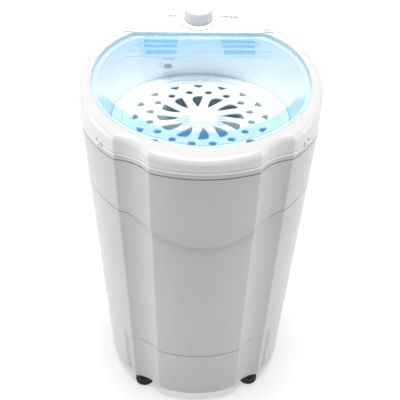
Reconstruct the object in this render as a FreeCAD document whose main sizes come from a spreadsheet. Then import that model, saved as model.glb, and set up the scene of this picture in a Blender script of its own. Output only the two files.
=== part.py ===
"""Compact top-load washing machine with a spin basket, as a parametric assembly.

Frame: millimetres, origin at the centre of the footprint on the floor, +Z up, front at -Y, +X to the right.
Every driving dimension is a cell of the spreadsheet "Dims". Each sub-part is an object with its own label and
is written to parts/LABEL.step.
"""
import FreeCAD, Part
import math
import os
import re

import Sketcher
from FreeCAD import Placement, Rotation, Vector

DIMENSIONS = {
    # outer case: a fluted cone standing on four feet
    "foot_height": 19.0, "foot_radius": 16.0, "foot_circle": 141.0, "foot_angle": 42.3, "foot_bore": 2.2,
    "case_bottom": 19.0, "case_top": 504.0, "case_radius_low": 158.0, "case_radius_high": 189.0,
    "case_wall": 3.0, "case_lip": 3.0, "case_lip_radius": 108.0, "case_edge": 3.0,
    "flute_start": 25.3, "flute_end": 44.1, "flute_depth_share": 0.0386,
    "neck_height": 1.6, "neck_inset": 1.2, "band_top": 515.6, "band_radius": 189.5,
    # raised upper part of the front panel, ending in a shallow arc
    "step_centre_height": 376.0, "step_edge_height": 397.5, "step_half_width": 78.0, "step_end_height": 409.0,
    "step_end_half_width": 122.0, "step_start_height": 340.0, "step_proud": 2.2, "step_proud_high": 0.1,
    # shallow arch-shaped panels low on the two sides, with a wedge-shaped slot at each upright edge
    "panel_low": 28.5, "panel_shoulder": 118.0, "panel_top": 140.0, "panel_half_low": 99.0,
    "panel_half_high": 99.5, "panel_half_top": 73.0, "panel_side_height": 132.0, "panel_side_half": 91.0,
    "panel_depth": 1.0, "slot_low": 33.0, "slot_high": 119.0, "slot_start": 48.6, "slot_end": 53.2,
    "slot_depth": 5.5, "slot_backing": 3.0,
    # cover: fluted skirt under a plane that rises to the back
    "cover_bottom": 516.2, "cover_radius_low": 189.6, "cover_radius_high": 190.6, "cover_front_height": 535.0,
    "cover_tilt": 9.57, "cover_wall": 3.0, "cover_edge": 7.0, "cover_reach": 190.0,
    "seat_depth": 7.0, "seat_width": 8.0, "funnel_bottom": 503.0, "funnel_radius": 143.5,
    # lid outline, seen from above
    "lid_half_width": 170.5, "lid_half_depth": 153.0, "lid_centre": -5.0, "lid_side_x": 161.0,
    "lid_side_y": 48.0, "lid_corner_x": 133.0, "lid_corner_y": 100.0,
    "lid_back_x": 112.0, "lid_back_y": 123.5,
    "lid_gap": 0.7, "lid_thickness": 3.0, "lid_rim": 7.2, "lid_proud": 0.5,
    "hinge_axis_y": 124.5, "hinge_radius": 4.5, "hinge_inner": 108.0, "hinge_outer": 117.5,
    "hinge_pin_radius": 1.5, "hinge_running_gap": 0.05, "hinge_ear_end": 127.0, "hinge_ear_gap": 0.5,
    "rib_count": 9.0, "rib_start": 40.0, "rib_pitch": 6.0, "rib_width": 1.6,
    "rib_front": 64.0, "rib_length": 52.0,
    "grip_half_length": 38.0, "grip_front": -107.0, "grip_back": -77.0, "grip_depth": 9.0, "grip_wall": 2.0,
    # dial and timer
    "dial_centre": 163.0, "dial_radius": 36.0, "dial_thickness": 1.2, "dial_back": 180.0,
    "switch_low": 538.0, "switch_left": 48.0, "switch_right": 72.0, "switch_front": 142.5,
    "switch_back": 156.0,
    "switch_height": 18.0, "switch_pivot_y": 140.0, "switch_pivot_height": 566.0, "switch_pin_radius": 2.0,
    "knob_radius": 24.0, "knob_height": 20.0, "knob_gap": 0.6, "knob_ribs": 36.0, "knob_draft": 2.0,
    "knob_edge": 2.5, "knob_groove": 1.0,
    "spindle_radius": 3.0, "spindle_gap": 0.05, "timer_width": 60.0, "timer_depth": 32.0,
    "timer_height": 38.0, "timer_top_gap": 4.5,
    # base pan, springs and motor
    "pan_radius": 145.0, "pan_wall": 3.0, "pan_low": 22.0, "pan_rim": 36.0, "pan_vent": 30.0,
    "screw_radius": 2.1, "screw_head_radius": 4.6, "nut_radius": 4.6,
    "spring_circle": 90.0, "spring_radius": 10.0, "spring_wire": 1.6, "spring_low": 29.0,
    "spring_high": 55.0, "spring_pitch": 5.2,
    "plate_radius": 112.0, "plate_thickness": 3.0,
    "motor_radius": 60.0, "motor_low": 58.0, "motor_high": 126.0, "motor_wall": 3.0,
    "can_radius": 17.0, "can_height": 55.0, "can_x": 78.0, "can_y": 60.0, "clip_radius": 19.0,
    "bearing_radius": 13.0, "bearing_height": 8.0, "bearing_seat": 10.0, "shaft_radius": 5.0,
    "shaft_gap": 0.04, "stator_low": 72.0, "stator_high": 112.0, "stator_radius": 56.8,
    "rotor_radius": 30.0, "air_gap": 0.6,
    "drum_low": 128.5, "drum_high": 142.5, "drum_radius": 34.0,
    "post_x": 48.0, "post_y": -30.0, "post_radius": 3.0, "lever_low": 129.0, "lever_thick": 4.0,
    # tub, basket and what turns with it
    "tub_radius": 149.6, "tub_wall": 2.8, "tub_low": 150.0, "tub_high": 500.0, "tub_floor": 3.0,
    "tub_flange": 157.0, "seal_bore": 24.0, "drain_x": 60.0, "drain_height": 172.0, "drain_radius": 12.5,
    "drain_bore": 9.5, "drain_collar": 13.5, "drain_collar_end": 166.0, "drain_end": 184.0,
    "gland_height": 60.0, "gland_face": 153.5, "spout_left": 61.0, "spout_low": 520.0,
    "spout_size": 18.0, "spout_wall": 3.0, "spout_front": 112.0,
    "basket_low": 163.0, "basket_floor": 3.0, "basket_radius_low": 134.0, "basket_radius_high": 138.0,
    "basket_wall": 2.5, "basket_high": 478.0, "hole_radius": 3.0, "hole_columns": 16.0, "hole_rows": 6.0,
    "ring_outer": 141.0, "ring_inner": 125.4, "ring_ledge": 119.0, "ring_high": 500.0, "ledge_height": 494.7,
    "hub_radius": 19.9, "hub_flange": 32.0, "hub_low": 158.0, "cone_radius": 60.0, "cone_height": 48.0,
    # pierced disc over the laundry
    "cover_screw_radius": 2.2, "cover_screw_drop": 4.0,
    "disc_radius": 125.0, "disc_low": 495.0, "disc_thickness": 3.0, "petal_count": 12.0,
    "petal_inner": 32.0, "petal_outer": 69.0, "petal_half_angle": 8.6, "round_hole_radius": 6.15,
    "round_hole_circle": 82.0, "hole_count": 16.0, "sail_inner": 97.5, "sail_outer": 108.5, "sail_angle": 4.9,
}

# places of the cover's screws, counted in degrees from the front towards +X
COVER_SCREW_ANGLES = (-55.0, 55.0, 125.0, -125.0)

doc = FreeCAD.newDocument("washer")
sheet = doc.addObject("Spreadsheet::Sheet", "Dims")
for row, (alias, number) in enumerate(DIMENSIONS.items(), start=1):
    sheet.set(f"A{row}", alias)
    sheet.set(f"B{row}", str(number))
    sheet.setAlias(f"B{row}", alias)
doc.recompute()

ALIAS = re.compile(r"\b(" + "|".join(DIMENSIONS) + r")\b")


def bound(expression):
    """Spell an expression over cell aliases the way setExpression wants it."""
    return ALIAS.sub(r"Dims.\1", str(expression))


def size(expression):
    """Number that an expression over cell aliases gives."""
    return float(sheet.evalExpression(bound(expression)))


def bind(target, **expressions):
    """Bind properties of an object to expressions over cell aliases."""
    for name, expression in expressions.items():
        target.setExpression(name, bound(expression))


def move(target, x="0", y="0", z="0"):
    """Bind the place of an object to expressions."""
    for axis, expression in zip("xyz", (x, y, z)):
        target.setExpression(f"Placement.Base.{axis}", bound(expression))
    return target


def cylinder(label, radius, height, x="0", y="0", z="0", rotation=None):
    """Part primitive: a cylinder standing on its place, or turned by the rotation given."""
    part = doc.addObject("Part::Cylinder", label)
    part.Label = label
    if rotation:
        part.Placement = Placement(Vector(), rotation)
    bind(part, Radius=radius, Height=height)
    return move(part, x, y, z)


def block(label, length, width, height, x, y, z):
    """Part primitive: a box with its lowest corner at its place."""
    part = doc.addObject("Part::Box", label)
    part.Label = label
    bind(part, Length=length, Width=width, Height=height)
    return move(part, x, y, z)


def cut(label, base, tool):
    """Part boolean: base less tool."""
    part = doc.addObject("Part::Cut", label)
    part.Label = label
    part.Base = base
    part.Tool = tool
    return part


def fuse(label, pieces):
    """Part boolean: one solid from several."""
    part = doc.addObject("Part::MultiFuse", label)
    part.Label = label
    part.Shapes = pieces
    return part


def group(label, pieces):
    """Several separate solids that share one node."""
    part = doc.addObject("Part::Compound", label)
    part.Label = label
    part.Links = pieces
    return part


def feature(label, shape):
    """Part::Feature for a shape that no primitive or sketch fits."""
    part = doc.addObject("Part::Feature", label)
    part.Label = label
    part.Shape = shape
    return part


def origin_plane(body, role):
    """Origin plane of a body, found by its role."""
    return next(item for item in body.Origin.OriginFeatures if item.Role == role)


def new_sketch(body, label, role):
    """Sketch on one of the body's own origin planes."""
    sketch = body.newObject("Sketcher::SketchObject", label)
    sketch.AttachmentSupport = (origin_plane(body, role), [""])
    sketch.MapMode = "FlatFace"
    return sketch


def draw_profile(sketch, points):
    """Closed outline of straight lines whose corners are bound to (across, up) expressions."""
    corners = [Vector(size(across), size(up), 0) for across, up in points]
    count = len(corners)
    for index, corner in enumerate(corners):
        sketch.addGeometry(Part.LineSegment(corner, corners[(index + 1) % count]), False)
    for index in range(count):
        sketch.addConstraint(Sketcher.Constraint("Coincident", index, 2, (index + 1) % count, 1))
    for index, (across, up) in enumerate(points):
        if abs(corners[index].x) < 1e-9:
            sketch.addConstraint(Sketcher.Constraint("PointOnObject", index, 1, -2))
        else:
            number = sketch.addConstraint(Sketcher.Constraint("DistanceX", -1, 1, index, 1, corners[index].x))
            sketch.setExpression(f"Constraints[{number}]", bound(across))
        number = sketch.addConstraint(Sketcher.Constraint("DistanceY", -1, 1, index, 1, corners[index].y))
        sketch.setExpression(f"Constraints[{number}]", bound(up))


def revolve(label, points):
    """PartDesign body turned about the vertical axis from a profile of (radius, height) expressions."""
    body = doc.addObject("PartDesign::Body", label)
    body.Label = label
    sketch = new_sketch(body, label + "_profile", "XZ_Plane")
    draw_profile(sketch, points)
    turned = body.newObject("PartDesign::Revolution", label + "_turned")
    turned.Profile = sketch
    turned.ReferenceAxis = (sketch, ["V_Axis"])
    turned.Angle = 360
    body.Tip = turned
    return body


def polar(radius, degrees, height=0.0):
    """Point at a radius and an angle counted from the front towards +X."""
    angle = math.radians(degrees)
    return Vector(radius * math.sin(angle), -radius * math.cos(angle), height)


def arc(first, middle, last):
    """Arc edge through three points."""
    return Part.Arc(first, middle, last).toShape()


def fluted_outline(radius, height, front_proud=0.0):
    """Outline of the case at a height: four bowed panels with a hollow flute at each corner."""
    start, end = size("flute_start"), size("flute_end")
    half = math.radians((end - start) / 2)
    hollow = radius * (math.cos(half) - size("flute_depth_share"))
    front = radius + front_proud
    edges = [arc(polar(front, -start, height), polar(front, 0, height), polar(front, start, height))]
    corners = ((start, end, front, radius), (180 - end, 180 - start, radius, radius))
    for low, high, low_radius, high_radius in corners:
        across = (low + high) / 2
        for side in (1, -1):
            edges.append(arc(polar(low_radius, side * low, height),
                             polar(hollow + front_proud * (low_radius > radius) / 2, side * across, height),
                             polar(high_radius, side * high, height)))
    for side in (1, -1):
        edges.append(arc(polar(radius, side * end, height), polar(radius, side * 90, height),
                         polar(radius, side * (180 - end), height)))
    edges.append(arc(polar(radius, 180 - start, height), polar(radius, 180, height),
                     polar(radius, 180 + start, height)))
    return Part.Wire(Part.sortEdges(edges)[0])


def fluted_solid(low_radius, low, high_radius, high, low_proud=0.0, high_proud=0.0):
    """Solid between two fluted outlines."""
    wires = [fluted_outline(low_radius, low, low_proud), fluted_outline(high_radius, high, high_proud)]
    return Part.makeLoft(wires, True, True)


def case_radius(height):
    """Radius of the case at a height."""
    share = (height - size("case_bottom")) / size("case_top - case_bottom")
    return size("case_radius_low") + share * size("case_radius_high - case_radius_low")


def case_inner(height):
    """Radius of the case's inner surface at a height; the wall thickens a little towards the top."""
    share = (height - size("case_bottom")) / size("case_top - case_bottom")
    return case_radius(height) - size("case_wall") - share * size("neck_inset")


def prism(points, direction):
    """Straight prism over a closed outline of points."""
    face = Part.Face(Part.makePolygon(points + points[:1]))
    return face.extrude(direction)


def raised_front():
    """Upper front panel, slightly proud of the lower one, above a shallow arc."""
    low, high = size("step_start_height"), size("case_top")
    proud = size("step_proud")
    panel = fluted_solid(case_radius(low), low, case_radius(high), high, proud, size("step_proud_high"))
    half, edge = size("step_half_width"), size("step_edge_height")
    end, end_height = size("step_end_half_width"), size("step_end_height")
    bottom = arc(Vector(-half, 0, edge), Vector(0, 0, size("step_centre_height")), Vector(half, 0, edge))
    sides = Part.makePolygon([Vector(half, 0, edge), Vector(end, 0, end_height), Vector(end, 0, high),
                              Vector(-end, 0, high), Vector(-end, 0, end_height), Vector(-half, 0, edge)])
    outline = Part.Wire(Part.sortEdges([bottom] + sides.Edges)[0])
    region = Part.Face(outline).extrude(Vector(0, -size("cover_reach") - 10, 0))
    return panel.common(region)


def side_panels():
    """What is taken off the case for the shallow arch-shaped panels on the left and right."""
    low, high, depth = size("panel_low"), size("panel_top"), size("panel_depth")
    around = fluted_solid(case_radius(low) + 5, low, case_radius(high) + 5, high)
    core = fluted_solid(case_radius(low) - depth, low, case_radius(high) - depth, high)
    half_outline = [(size("panel_half_low"), low), (size("panel_half_high"), size("panel_shoulder")),
                    (size("panel_side_half"), size("panel_side_height")), (size("panel_half_top"), high)]
    outline = half_outline + [(-y, z) for y, z in reversed(half_outline)]
    reach = 2 * size("cover_reach")
    region = prism([Vector(-reach, y, z) for y, z in outline], Vector(2 * reach, 0, 0))
    return around.cut(core).common(region)


def corner_prism(corners, low, high, turn):
    """Upright prism that follows the case's taper, from (degrees, offset from the surface) corners."""
    wires = []
    for height in (low, high):
        points = [polar(case_radius(height) + offset, turn(angle), height) for angle, offset in corners]
        wires.append(Part.makePolygon(points + points[:1]))
    return Part.makeLoft(wires, True, True)


def slots():
    """Wedge-shaped slots at the panels' upright edges, and the backing each needs inside the wall."""
    start, end, depth = size("slot_start"), size("slot_end"), size("slot_depth")
    low, high, backing = size("slot_low"), size("slot_high"), size("slot_backing")
    wedge = [(start, 1.0), (start, -depth), (end, 0.0), (end, 1.0)]
    pad = [(start - 2, -1.0), (start - 1, -depth - backing), (start + 1, -depth - backing), (end + 2, -1.0)]
    places = (lambda angle: angle, lambda angle: -angle, lambda angle: 180 - angle, lambda angle: angle - 180)
    wedges = [corner_prism(wedge, low, high, place) for place in places]
    pads = [corner_prism(pad, low - backing, high + backing, place) for place in places]
    return wedges, pads


def outer_case():
    """Fluted plastic case: tapered wall, shadow groove, upper band, raised front and side panels."""
    low, high, band_top = size("case_bottom"), size("case_top"), size("band_top")
    radius_low, radius_high = size("case_radius_low"), size("case_radius_high")
    neck_top = high + size("neck_height")
    neck = radius_high - size("neck_inset")
    edge = size("case_edge")
    outside = fluted_solid(case_radius(low + edge), low + edge, radius_high, high)
    foot_edge = fluted_solid(radius_low - edge, low, case_radius(low + edge), low + edge)
    outside = outside.fuse([foot_edge, raised_front(), fluted_solid(neck, high, neck, neck_top),
                            fluted_solid(size("band_radius"), neck_top, size("band_radius"), band_top)])
    lip_top = low + size("case_lip")
    inside = fluted_solid(case_inner(lip_top), lip_top, case_inner(band_top + 1), band_top + 1)
    bottom = Part.makeCylinder(size("case_lip_radius"), size("case_lip") + 2, Vector(0, 0, low - 1))
    wedges, pads = slots()
    shell = outside.cut([inside, bottom]).fuse(pads).cut([side_panels()] + wedges)
    across, start, back = size("drain_x"), size("case_lip_radius"), Vector(0, 1, 0)
    drain_centre = Vector(across, start, size("drain_height"))
    drain = Part.makeCylinder(size("drain_collar + 0.5"), start, drain_centre, back)
    gland = Part.makeCylinder(6.0, start, Vector(-across, start, size("gland_height")), back)
    screws = [Part.makeCylinder(size("foot_bore"), 10, Vector(size(x), size(y), low - 1))
              for x, y in foot_places().values()]
    socket_radius, socket_height = size("cover_screw_radius + 0.1"), size("band_top - cover_screw_drop")
    sockets = [Part.makeCylinder(socket_radius, 8, polar(size("band_radius - 8"), angle, socket_height),
                                 polar(1.0, angle))
               for angle in COVER_SCREW_ANGLES]
    return shell.cut([drain, gland] + screws + sockets).removeSplitter()


def deck_height(y):
    """Height of the cover's tilted plane at a depth."""
    return size("cover_front_height") + (y + size("cover_reach")) * math.tan(math.radians(size("cover_tilt")))


def above_deck(offset):
    """Everything above the tilted plane moved by an offset along its normal."""
    reach = 3 * size("cover_reach")
    slab = Part.makeBox(2 * reach, 2 * reach, reach, Vector(-reach, -reach, offset))
    slab.Placement = Placement(Vector(0, 0, deck_height(0)), Rotation(Vector(1, 0, 0), size("cover_tilt")))
    return slab


def lid_outline(grow, height):
    """Outline of the lid seen from above: an ellipse at the front, rounded corners and a straight back."""
    centre, back = size("lid_centre"), size("lid_back_y") + grow
    half_width, half_depth = size("lid_half_width") + grow, size("lid_half_depth") + grow
    side = Vector(size("lid_side_x") + grow, size("lid_side_y"), height)
    corner = Vector(size("lid_corner_x") + grow * 0.8, size("lid_corner_y") + grow * 0.6, height)
    end = Vector(size("lid_back_x") + grow * 0.5, back, height)
    middle = Vector(0, centre, height)
    ellipse = Part.Ellipse(Vector(half_width, centre, height), Vector(0, centre + half_depth, height), middle)
    front = Part.ArcOfEllipse(ellipse, math.pi, 2 * math.pi).toShape()
    widest = Vector(half_width, centre, height)
    edges = [front]
    for sign in (1, -1):
        first, second, third, fourth = (Vector(sign * p.x, p.y, p.z) for p in (widest, side, corner, end))
        edges.append(arc(first, second, third))
        knee = Vector((third.x * 0.42 + fourth.x * 0.58) + sign * 1.2, third.y * 0.42 + fourth.y * 0.58 + 2.0,
                      height)
        edges.append(arc(third, knee, fourth))
    edges.append(Part.makeLine(end, Vector(-end.x, end.y, end.z)))
    return Part.Wire(Part.sortEdges(edges)[0])


def lid_prism(grow):
    """Upright prism over the lid outline, tall enough to cross the tilted plane."""
    low, high = size("funnel_bottom"), size("cover_front_height") + size("cover_reach")
    return Part.Face(lid_outline(grow, low)).extrude(Vector(0, 0, high - low))


def layer(shape, low, high):
    """The part of a shape between two offsets from the tilted plane."""
    return shape.common(above_deck(low)).cut(above_deck(high))


def hinge_cylinder(radius, start, end):
    """Cylinder on the lid's hinge axis between two x positions."""
    return Part.makeCylinder(radius, end - start, Vector(start, size("hinge_axis_y"), hinge_height()),
                             Vector(1, 0, 0))


def hinge_pair(radius, near, far):
    """Equal cylinders on the hinge axis, left and right, from expressions for their radius and ends."""
    return [hinge_cylinder(size(radius), *sorted((sign * size(near), sign * size(far)))) for sign in (1, -1)]


def hinge_height():
    """Height of the lid's hinge axis: level with the top of the lid's back edge."""
    return deck_height(size("hinge_axis_y")) + size("lid_proud")


def funnel_solid(grow):
    """Solid funnel from the lid seat down to the round mouth of the tub."""
    count = 48
    rise = math.tan(math.radians(size("cover_tilt")))
    seat = deck_height(0) - size("seat_depth") + 1
    radius, low = size("funnel_radius") + grow, size("funnel_bottom")
    upper, lower = [], []
    for point in lid_outline(grow - size("seat_width"), 0.0).discretize(Number=count + 1)[:-1]:
        outward = Vector(point.x, point.y, 0).normalize()
        upper.append(Vector(point.x, point.y, seat + rise * point.y))
        lower.append(outward * radius + Vector(0, 0, low))
    return Part.makeLoft([closed_curve(upper), closed_curve(lower)], True, True)


def closed_curve(points):
    """Closed smooth wire through points."""
    curve = Part.BSplineCurve()
    curve.interpolate(points, PeriodicFlag=True)
    return Part.Wire(curve.toShape())


def top_cover():
    """Cover with fluted skirt, tilted deck, lid seat, funnel and bored hinge ears."""
    low, wall = size("cover_bottom"), size("cover_wall")
    radius_low, radius_high = size("cover_radius_low"), size("cover_radius_high")
    top = size("cover_front_height") + size("cover_reach")
    blank = fluted_solid(radius_low, low, radius_high, top).cut(above_deck(0))
    deck = max(blank.Faces, key=lambda face: face.CenterOfMass.z)
    blank = blank.makeFillet(size("cover_edge"), deck.Edges)
    hollow = fluted_solid(radius_low - wall, low - 1, radius_high - wall, top).cut(above_deck(-wall))
    tray = layer(lid_prism(size("lid_gap") + wall), -size("seat_depth") - wall, 0)
    gap = size("lid_gap")
    recess = layer(lid_prism(gap), -size("seat_depth"), 20)
    funnel = funnel_solid(wall).cut(above_deck(-size("seat_depth")))
    shell = blank.cut(hollow).fuse([tray.common(blank), funnel]).cut([recess, funnel_solid(0)])
    ears, pockets = [], []
    inner, outer, end = size("hinge_inner"), size("hinge_outer"), size("hinge_ear_end")
    radius, ear_gap = size("hinge_radius"), size("hinge_ear_gap")
    bore = size("hinge_pin_radius + hinge_running_gap")
    for sign in (1, -1):
        span = sorted((sign * (inner - ear_gap), sign * (outer + ear_gap)))
        pockets.append(hinge_cylinder(radius + ear_gap, *span))
        span = sorted((sign * (outer + ear_gap), sign * end))
        ears.append(hinge_cylinder(radius, *span))
        pockets.append(hinge_cylinder(bore, *sorted((sign * outer, sign * (end - 2)))))
    spindle = Part.makeCylinder(size("spindle_radius") + 1.0, 20, dial_point(-10), deck_normal())
    return shell.fuse(ears).cut(pockets + [spindle]).removeSplitter()


def deck_normal():
    """Unit normal of the tilted plane."""
    return Rotation(Vector(1, 0, 0), size("cover_tilt")).multVec(Vector(0, 0, 1))


def dial_point(offset):
    """Point on the timer's axis, at an offset from the tilted plane."""
    y = size("dial_centre")
    return Vector(0, y, deck_height(y)) + deck_normal() * offset


def on_dial_axis(shape, offset):
    """Move a shape built about the upright axis onto the timer's tilted axis."""
    shape.Placement = Placement(dial_point(offset), Rotation(Vector(1, 0, 0), size("cover_tilt")))
    return shape


def dial_plate():
    """Round dial plate on the control deck, cut short at the cover's back shoulder."""
    radius, thick = size("dial_radius"), size("dial_thickness")
    plate = Part.makeCylinder(radius, thick).cut(Part.makeCylinder(size("spindle_radius") + 1.0, thick))
    plate = on_dial_axis(plate, 0)
    beyond = Part.makeBox(400, 100, 1000, Vector(-200, size("dial_back"), 0))
    return plate.cut(beyond)


def timer_knob():
    """Ribbed round knob with a domed top and a hollow underside that grips the spindle."""
    radius, height, gap = size("knob_radius"), size("knob_height"), size("knob_gap")
    body = Part.makeCone(radius, radius - size("knob_draft"), height)
    rim = [edge for edge in body.Edges if edge.BoundBox.ZMin > height - 0.1]
    body = body.makeFillet(size("knob_edge"), rim)
    count = int(size("knob_ribs"))
    places = [polar(radius + 0.3, 360.0 * index / count, -1) for index in range(count)]
    grooves = [Part.makeCylinder(size("knob_groove"), height - 5, place) for place in places]
    boss = Part.makeCylinder(2 * size("spindle_radius") + 1, height)
    hollow = Part.makeCylinder(radius - 4, height / 2, Vector(0, 0, -1)).cut(boss)
    socket = Part.makeCylinder(size("spindle_radius"), 13, Vector(0, 0, -1))
    body = body.cut(grooves + [hollow, socket])
    return on_dial_axis(body, size("dial_thickness") + gap)


def timer_spindle():
    """Steel spindle from the timer movement up into the knob."""
    reach = size("timer_top_gap") + 12
    length = reach + size("dial_thickness") + size("knob_gap") + 12
    return on_dial_axis(Part.makeCylinder(size("spindle_radius"), length), -reach)


def timer_movement():
    """Timer case under the deck, with a bored boss for the spindle."""
    width, depth, height = size("timer_width"), size("timer_depth"), size("timer_height")
    box = Part.makeBox(width, depth, height, Vector(-width / 2, -depth / 2 - 3, -height))
    neck = Part.makeCylinder(9.0, size("timer_top_gap - cover_wall"))
    bore = Part.makeCylinder(size("spindle_radius + spindle_gap"), 20, Vector(0, 0, -13))
    return on_dial_axis(box.fuse(neck).cut(bore), -size("timer_top_gap"))


def lid():
    """Clear lid: thin plate with a rim, raised middle, finger grip, rear rib blocks and hinge knuckles."""
    thick, rim, proud = size("lid_thickness"), size("lid_rim"), size("lid_proud")
    plate = layer(lid_prism(0), -rim + proud, proud)
    hollow = layer(lid_prism(-thick), -rim, proud - thick)
    shell = plate.cut(hollow)
    middle_y = size("grip_front + grip_back") / 2
    half_depth = size("grip_back - grip_front") / 2
    reach = size("grip_half_length") - half_depth
    below, tall = size("funnel_bottom"), size("cover_reach")
    cups = []
    for inset, floor in ((0.0, -size("grip_depth")), (size("grip_wall"), size("grip_wall - grip_depth"))):
        radius = half_depth - inset
        ends = [Part.makeCylinder(radius, tall, Vector(sign * reach, middle_y, below)) for sign in (1, -1)]
        bar = Part.makeBox(2 * reach, 2 * radius, tall, Vector(-reach, middle_y - radius, below))
        cups.append(layer(bar.fuse(ends).removeSplitter(), floor, 5))
    cup = cups[0].cut(above_deck(proud))
    shell = shell.fuse(cup).cut(cups[1])
    ribs = []
    for sign in (1, -1):
        for index in range(int(size("rib_count"))):
            x = sign * (size("rib_start") + index * size("rib_pitch")) - size("rib_width") / 2
            corner = Vector(x, size("rib_front"), below)
            rib = Part.makeBox(size("rib_width"), size("rib_length"), tall, corner)
            ribs.append(layer(rib, -rim + proud, proud))
    knuckles = hinge_pair("hinge_radius", "hinge_inner", "hinge_outer")
    holes = hinge_pair("hinge_pin_radius", "hinge_inner + 2", "hinge_ear_end")
    return shell.fuse(ribs + knuckles).cut(holes).removeSplitter()


def lid_pins():
    """Two steel pins from the lid's knuckles into the cover's ears."""
    return Part.makeCompound(hinge_pair("hinge_pin_radius", "hinge_inner + 2", "hinge_ear_end - 3"))


def spin_disc():
    """Disc that lies on the laundry: pad with patterns of petals, round holes and sail-shaped holes."""
    body = doc.addObject("PartDesign::Body", "basket_cover")
    body.Label = "basket_cover"
    sketch = new_sketch(body, "disc_outline", "XY_Plane")
    sketch.addGeometry(Part.Circle(Vector(), Vector(0, 0, 1), size("disc_radius")), False)
    sketch.addConstraint(Sketcher.Constraint("Coincident", 0, 3, -1, 1))
    number = sketch.addConstraint(Sketcher.Constraint("Radius", 0, size("disc_radius")))
    sketch.setExpression(f"Constraints[{number}]", bound("disc_radius"))
    sketch.setExpression("AttachmentOffset.Base.z", bound("disc_low"))
    disc = body.newObject("PartDesign::Pad", "disc_pad")
    disc.Profile = sketch
    disc.setExpression("Length", bound("disc_thickness"))
    doc.recompute()
    pierce(body, "petals", petal_edges(), "petal_count")
    circle = Part.Circle(polar(size("round_hole_circle"), 180 / size("hole_count")), Vector(0, 0, 1),
                         size("round_hole_radius"))
    pierce(body, "round_holes", [circle], "hole_count")
    pierce(body, "sail_holes", sail_edges(), "hole_count")
    return body


def petal_edges():
    """Curved leaf: a fine inner tip, one bowed flank, and a sharp outer corner on the clockwise side."""
    inner, outer, half = size("petal_inner"), size("petal_outer"), size("petal_half_angle")
    tip, corner, shoulder = polar(inner, 1.5), polar(outer, -half), polar(outer * 0.93, half * 0.8)
    return [Part.Arc(tip, polar(inner * 0.45 + outer * 0.55, -half * 0.72), corner),
            Part.Arc(corner, polar(outer, -half * 0.05), shoulder),
            Part.Arc(shoulder, polar(inner * 0.55 + outer * 0.45, half), tip)]


def sail_edges():
    """Rounded triangle with its broad side outwards."""
    inner, outer, half = size("sail_inner"), size("sail_outer"), size("sail_angle")
    tip, left, right = polar(inner, -0.6), polar(outer - 2.0, -half), polar(outer - 1.0, half)
    return [Part.Arc(tip, polar((inner + outer) / 2 - 1.6, -half * 0.62), left),
            Part.Arc(left, polar(outer, 0.4), right),
            Part.Arc(right, polar((inner + outer) / 2 - 2.6, half * 0.55), tip)]


def pierce(body, label, curves, count):
    """Pocket an outline through the disc and repeat it round the body's axis."""
    sketch = new_sketch(body, label + "_outline", "XY_Plane")
    sketch.setExpression("AttachmentOffset.Base.z", bound("disc_low + disc_thickness"))
    for curve in curves:
        sketch.addGeometry(curve, False)
    if len(curves) > 1:
        for index in range(len(curves)):
            sketch.addConstraint(Sketcher.Constraint("Coincident", index, 2, (index + 1) % len(curves), 1))
    pocket = body.newObject("PartDesign::Pocket", label + "_first")
    pocket.Profile = sketch
    pocket.setExpression("Length", bound("disc_thickness"))
    doc.recompute()
    pattern = body.newObject("PartDesign::PolarPattern", label)
    pattern.Originals = [pocket]
    pattern.Axis = (sketch, ["N_Axis"])
    pattern.Angle = 360
    pattern.setExpression("Occurrences", bound(count))
    body.Tip = pattern
    doc.recompute()


def foot_places():
    """Names of the feet with the expressions for their places."""
    across = "foot_circle * sin(foot_angle * 1deg)"
    along = "foot_circle * cos(foot_angle * 1deg)"
    return {"foot_front_left": ("-" + across, "-" + along), "foot_front_right": (across, "-" + along),
            "foot_back_left": ("-" + across, along), "foot_back_right": (across, along)}


def build_base():
    """Feet, their screws and nuts, base pan and cable gland."""
    screws, nuts, holes = [], [], []
    for label, (x, y) in foot_places().items():
        foot = revolve(label, [("foot_bore", "6"), ("6.5", "6"), ("6.5", "0"), ("foot_radius - 2", "0"),
                               ("foot_radius", "2.5"), ("foot_radius", "foot_height - 3"),
                               ("foot_radius - 1.5", "foot_height"), ("foot_bore", "foot_height")])
        move(foot, x, y)
        head = cylinder(label + "_screw_head", "screw_head_radius", "3", x, y, "3")
        shank = cylinder(label + "_screw_shank", "screw_radius", "24", x, y, "5")
        screws.append(fuse(label + "_screw", [head, shank]))
        nut = doc.addObject("Part::Prism", label + "_nut_blank")
        nut.Polygon = 6
        bind(nut, Circumradius="nut_radius", Height="3")
        move(nut, x, y, "pan_low + pan_wall")
        bore = cylinder(label + "_nut_bore", "screw_radius", "3", x, y, "pan_low + pan_wall")
        nuts.append(cut(label + "_nut", nut, bore))
        holes.append(cylinder(label + "_pan_hole", "foot_bore", "pan_wall + 2", x, y, "pan_low - 1"))
        holes.append(cylinder(label + "_nut_room", "nut_radius + 1", "pan_rim", x, y, "pan_low + pan_wall"))
    group("foot_screws", screws)
    group("foot_nuts", nuts)
    pan = revolve("pan_blank", [("pan_vent", "pan_low"), ("pan_radius", "pan_low"),
                                ("pan_radius", "pan_rim"), ("pan_radius - pan_wall", "pan_rim"),
                                ("pan_radius - pan_wall", "pan_low + pan_wall"),
                                ("pan_vent", "pan_low + pan_wall")])
    cut("base_pan", pan, group("pan_holes", holes))
    turn = Rotation(Vector(1, 0, 0), -90)
    flange = cylinder("gland_flange", "9", "3", "-drain_x", "gland_face", "gland_height", turn)
    barrel = cylinder("gland_barrel", "5.8", "20", "-drain_x", "gland_face - 17.5", "gland_height", turn)
    bore = cylinder("gland_bore", "3.5", "30", "-drain_x", "gland_face - 24", "gland_height", turn)
    cut("cable_gland", fuse("gland_blank", [flange, barrel]), bore)


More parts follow.
